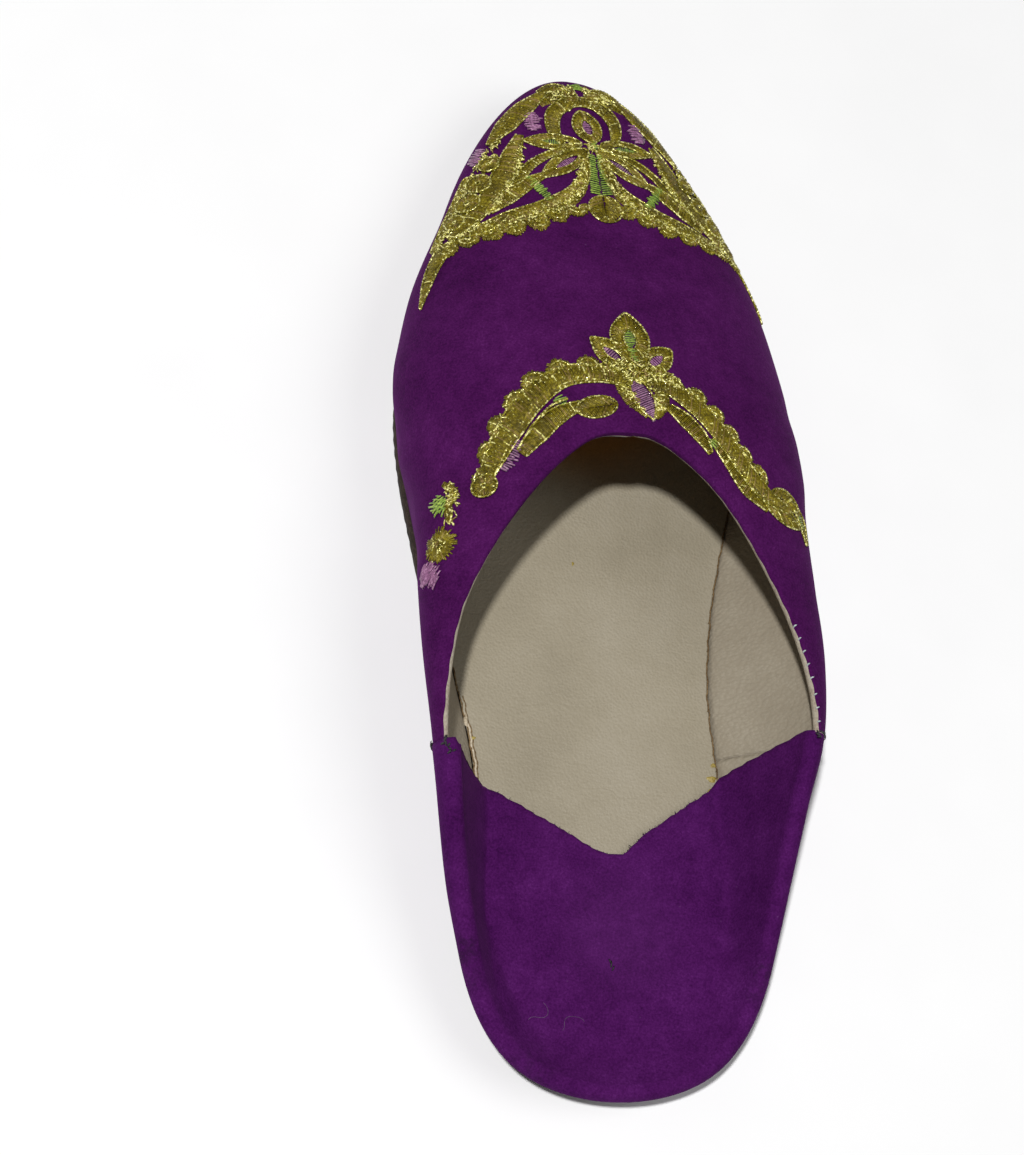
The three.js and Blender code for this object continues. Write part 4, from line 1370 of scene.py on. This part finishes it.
def lining_look():
    look = Look("cream_lining")
    grain = look.cells(1050, (0.75, 1.35, 1))
    fine = look.noise(2100, 3, 0.6)
    slow = look.noise(70, 3)
    colour = look.ramp(look.sum((slow, 0.6), (fine, 0.25), (grain, 0.25)),
                       (0.30, (0.275, 0.234, 0.172)), (0.55, (0.362, 0.316, 0.240)),
                       (0.78, (0.415, 0.372, 0.290)))
    colour = look.mix(look.ramp(grain, (0.32, 0), (0.66, 0.4)), colour, (0.25, 0.205, 0.145))
    # painted warm shade inside the toe
    look.colour(painted_toe_shade(look, colour))
    look.set(Roughness=0.62, Specular_IOR_Level=0.3)
    look.bump(look.sum((grain, -1.0), (fine, 0.25)), 0.00026, 0.55)
    return look.material


def insole_look():
    look = Look("cream_insole")
    slow = look.noise(38, 4, 0.6)
    fine = look.noise(1700, 3, 0.6)
    pores = look.cells(1500)
    lines = look.noise(42, 3, 0.6, stretch=(0.7, 2.0, 1))
    crease = look.ramp(lines, (0.488, 0), (0.498, 1), (0.502, 1), (0.512, 0))
    colour = look.ramp(look.sum((slow, 0.8), (fine, 0.25)),
                       (0.32, (0.290, 0.252, 0.180)), (0.52, (0.335, 0.293, 0.213)),
                       (0.72, (0.375, 0.333, 0.252)))
    faint = look.sum((look.mix(1.0, crease, slow, "MULTIPLY"), 0.10))
    colour = look.mix(faint, colour, (0.21, 0.175, 0.115))
    colour = look.mix(look.sum((look.ramp(pores, (0.1, 1), (0.35, 0)), 0.16)), colour, (0.22, 0.18, 0.12))
    # painted warm shade inside the toe
    look.colour(painted_toe_shade(look, colour))
    look.set(Roughness=0.5, Specular_IOR_Level=0.35)
    look.bump(look.sum((fine, 0.7), (pores, 0.9), (crease, -0.2)), 0.00016, 0.7)
    return look.material


def cut_edge_look():
    look = Look("cut_leather_edge")
    fibre = look.noise(1300, 4, 0.7)
    colour = look.ramp(look.sum((fibre, 0.7), (look.noise(160, 3), 0.4)),
                       (0.35, (0.26, 0.205, 0.15)), (0.55, (0.42, 0.365, 0.28)), (0.75, (0.52, 0.47, 0.38)))
    look.colour(colour)
    look.set(Roughness=0.85, Specular_IOR_Level=0.2)
    look.bump(fibre, 0.0003, 0.9)
    return look.material


def raw_suede_look():
    look = Look("raw_suede_edge")
    fibre = look.noise(1500, 4, 0.75)
    colour = look.ramp(fibre, (0.36, (0.014, 0.004, 0.018)), (0.52, (0.045, 0.010, 0.055)),
                       (0.70, (0.13, 0.055, 0.13)))
    look.colour(colour)
    look.set(Roughness=0.95, Specular_IOR_Level=0.1)
    look.bump(fibre, 0.0004, 1.0)
    return look.material


def sole_look(name, level):
    look = Look(name)
    layers = look.noise(420, 4, 0.7, stretch=(1, 1, 5))
    fibre = look.noise(1600, 4, 0.75)
    dust = look.noise(90, 4, 0.65)
    base = np.array([0.030, 0.021, 0.016]) * level
    colour = look.ramp(look.sum((layers, 0.6), (fibre, 0.5)),
                       (0.38, tuple(base * 0.5)), (0.55, tuple(base)), (0.72, tuple(base * 2.3)))
    colour = look.mix(look.ramp(dust, (0.56, 0), (0.74, 0.35)), colour, (0.16, 0.125, 0.095))
    look.colour(colour)
    look.set(Roughness=0.8, Specular_IOR_Level=0.25)
    look.bump(look.sum((fibre, 0.8), (layers, 0.6)), 0.0003, 0.9)
    return look.material


# colour of the painted glints, bright points mixed into the gold threads' colour
PAINTED_GLINT_COLOUR = (1.0, 0.95, 0.38)


def thread_look(name, dark, mid, light, metallic, roughness, sheen=0.0, painted_glint_share=0.0):
    """Spun thread, with a share of painted glints: small bright points painted into its colour, bright under
    any light.
    """
    look = Look(name)
    strand = look.noise(1900, 2, 0.5)
    slow = look.noise(240, 3, 0.6)
    colour = look.ramp(look.sum((strand, 0.65), (slow, 0.4)), (0.36, dark), (0.53, mid), (0.70, light))
    if painted_glint_share:
        # painted glints: a noise mask, larger with the share, mixes bright points into the colour
        start = 0.72 - 0.40 * painted_glint_share
        colour = look.mix(look.ramp(look.noise(1500, 1), (start, 0), (start + 0.03, 1)), colour, PAINTED_GLINT_COLOUR)
        look.rough(look.ramp(look.noise(3100, 1), (0.40, roughness - 0.14), (0.60, roughness + 0.2)))
    else:
        look.set(Roughness=roughness)
    look.colour(colour)
    look.set(Metallic=metallic, Specular_IOR_Level=0.5, Sheen_Weight=sheen)
    look.bump(look.noise(4200, 2, 0.6), 0.00012, 0.8)
    return look.material


# ------------------------------------------------------------------ camera, floor and light
LEAN_OUT, LEAN_BACK, ROLL = 17, 22, -2.43
CAMERA_DISTANCE = 600
AIM = (-21.1, -7.2, 15)
LENS = 81.83


def direction(lean_out, lean_back):
    """A unit vector up from the slipper, leaning to its outer side and to its heel, in degrees."""
    lean = Vector((-math.tan(math.radians(lean_out)), -math.tan(math.radians(lean_back)), 1))
    return lean.normalized()


def make_camera():
    camera = bpy.data.objects.new("camera", bpy.data.cameras.new("camera"))
    bpy.context.collection.objects.link(camera)
    camera.data.lens = LENS
    camera.data.sensor_width = 36
    back = direction(LEAN_OUT, LEAN_BACK)
    right = Matrix.Rotation(math.radians(ROLL), 3, back) @ Vector((0, 1, 0)).cross(back).normalized()
    place = (Vector(AIM) + back * CAMERA_DISTANCE) * MM
    turn = Matrix((right, back.cross(right), back)).transposed()
    camera.matrix_world = Matrix.Translation(place) @ turn.to_4x4()
    camera.data.clip_start = 0.01
    bpy.context.scene.camera = camera


def make_light(name, lean_out, lean_back, distance, size, power):
    lamp = bpy.data.lights.new(name, "AREA")
    lamp.shape = "DISK"
    lamp.size = size
    lamp.energy = power
    light = bpy.data.objects.new(name, lamp)
    bpy.context.collection.objects.link(light)
    way = direction(lean_out, lean_back)
    turn = way.to_track_quat("Z", "Y").to_matrix()
    light.matrix_world = Matrix.Translation(way * distance) @ turn.to_4x4()


def make_stage():
    look = Look("pale_floor")
    look.colour(look.ramp(look.noise(25, 2), (0.3, (0.93, 0.93, 0.93)), (0.7, (0.95, 0.95, 0.95))))
    look.set(Roughness=0.9, Specular_IOR_Level=0.1)
    bpy.ops.mesh.primitive_plane_add(size=6)
    floor = bpy.context.object
    floor.name = "floor"
    floor.data.materials.append(look.material)
    world = bpy.data.worlds.new("studio")
    bpy.context.scene.world = world
    world.use_nodes = True
    background = world.node_tree.nodes["Background"].inputs
    background["Color"].default_value = (1, 1, 1, 1)
    background["Strength"].default_value = 0.10
    make_light("key", lean_out=20.5, lean_back=8.4, distance=2.2, size=0.12, power=41.5)
    make_light("fill", lean_out=-28, lean_back=12, distance=1.6, size=1.1, power=5)
    bpy.context.scene.view_settings.view_transform = "Standard"


# ------------------------------------------------------------------ the slipper
THREAD_LOOKS = {
    # name: dark, middle and light colour, then metallic, roughness, sheen and the share of painted glints
    "gold_satin": ((0.070, 0.053, 0.003), (0.190, 0.146, 0.006), (0.40, 0.33, 0.018), 0.3, 0.42, 0, 0.08),
    # a darker, browner copy of the gold, painted shade on single stitches
    "gold_satin_painted_shade": ((0.14, 0.09, 0.02), (0.29, 0.20, 0.05), (0.42, 0.32, 0.10), 0.3, 0.5, 0, 0),
    # a brighter copy of the gold, painted glints on single stitches
    "gold_painted_glint": ((0.22, 0.19, 0.02), (0.42, 0.38, 0.05), (0.9, 0.84, 0.16), 0.3, 0.25, 0, 0.62),
    "gold_cord": ((0.08, 0.065, 0.003), (0.23, 0.195, 0.010), (0.60, 0.54, 0.08), 0.4, 0.22, 0, 0.44),
    "lilac_satin": ((0.12, 0.030, 0.10), (0.30, 0.11, 0.24), (0.60, 0.31, 0.51), 0, 0.45, 0.3, 0),
    "green_satin": ((0.06, 0.12, 0.005), (0.22, 0.34, 0.03), (0.45, 0.60, 0.10), 0, 0.45, 0.2, 0),
    "white_thread": ((0.24, 0.27, 0.27), (0.45, 0.50, 0.50), (0.65, 0.70, 0.70), 0, 0.6, 0, 0),
    "tan_thread": ((0.08, 0.045, 0.015), (0.16, 0.095, 0.035), (0.27, 0.18, 0.08), 0, 0.6, 0, 0),
    "dark_thread": ((0.006, 0.005, 0.007), (0.014, 0.011, 0.015), (0.035, 0.03, 0.035), 0, 0.6, 0, 0),
    "old_glue": ((0.20, 0.14, 0.02), (0.36, 0.27, 0.06), (0.48, 0.38, 0.12), 0, 0.45, 0, 0),
    "cream_tag": ((0.36, 0.29, 0.19), (0.50, 0.42, 0.30), (0.60, 0.52, 0.40), 0, 0.6, 0, 0),
    "lint": ((0.09, 0.05, 0.10), (0.14, 0.09, 0.15), (0.20, 0.15, 0.21), 0, 0.8, 0, 0),
}
look_of = {name: thread_look(name, *row) for name, row in THREAD_LOOKS.items()}

make_camera()
make_stage()
lining = lining_look()
cut_edge = cut_edge_look()
raw_edge = raw_suede_look()
make_upper(suede_look("violet_suede", (1, 1, 1)), lining, cut_edge)
make_folded_back(suede_look("violet_suede_back", (1.03, 1.12, 1.16)), lining, raw_edge)
make_insole(insole_look(), cut_edge)
make_outsole(sole_look("sole_leather", 1.0))
make_heel_lift(sole_look("lift_leather", 0.85))
make_rim_threads(look_of["white_thread"], look_of["dark_thread"])
make_insole_seams(look_of["tan_thread"], look_of["old_glue"], look_of["cream_tag"])
make_seams(look_of["dark_thread"])
make_flap_threads(look_of["dark_thread"], raw_edge, look_of["lint"])
# the second and third materials of each gold piece are its painted-glint and painted-shade copies
make_embroidery(
    [look_of["gold_satin"], look_of["gold_painted_glint"], look_of["gold_satin_painted_shade"]],
    [look_of["gold_cord"], look_of["gold_painted_glint"], look_of["gold_satin_painted_shade"]],
    [look_of["lilac_satin"]] * 3,
    [look_of["green_satin"]] * 3,
)
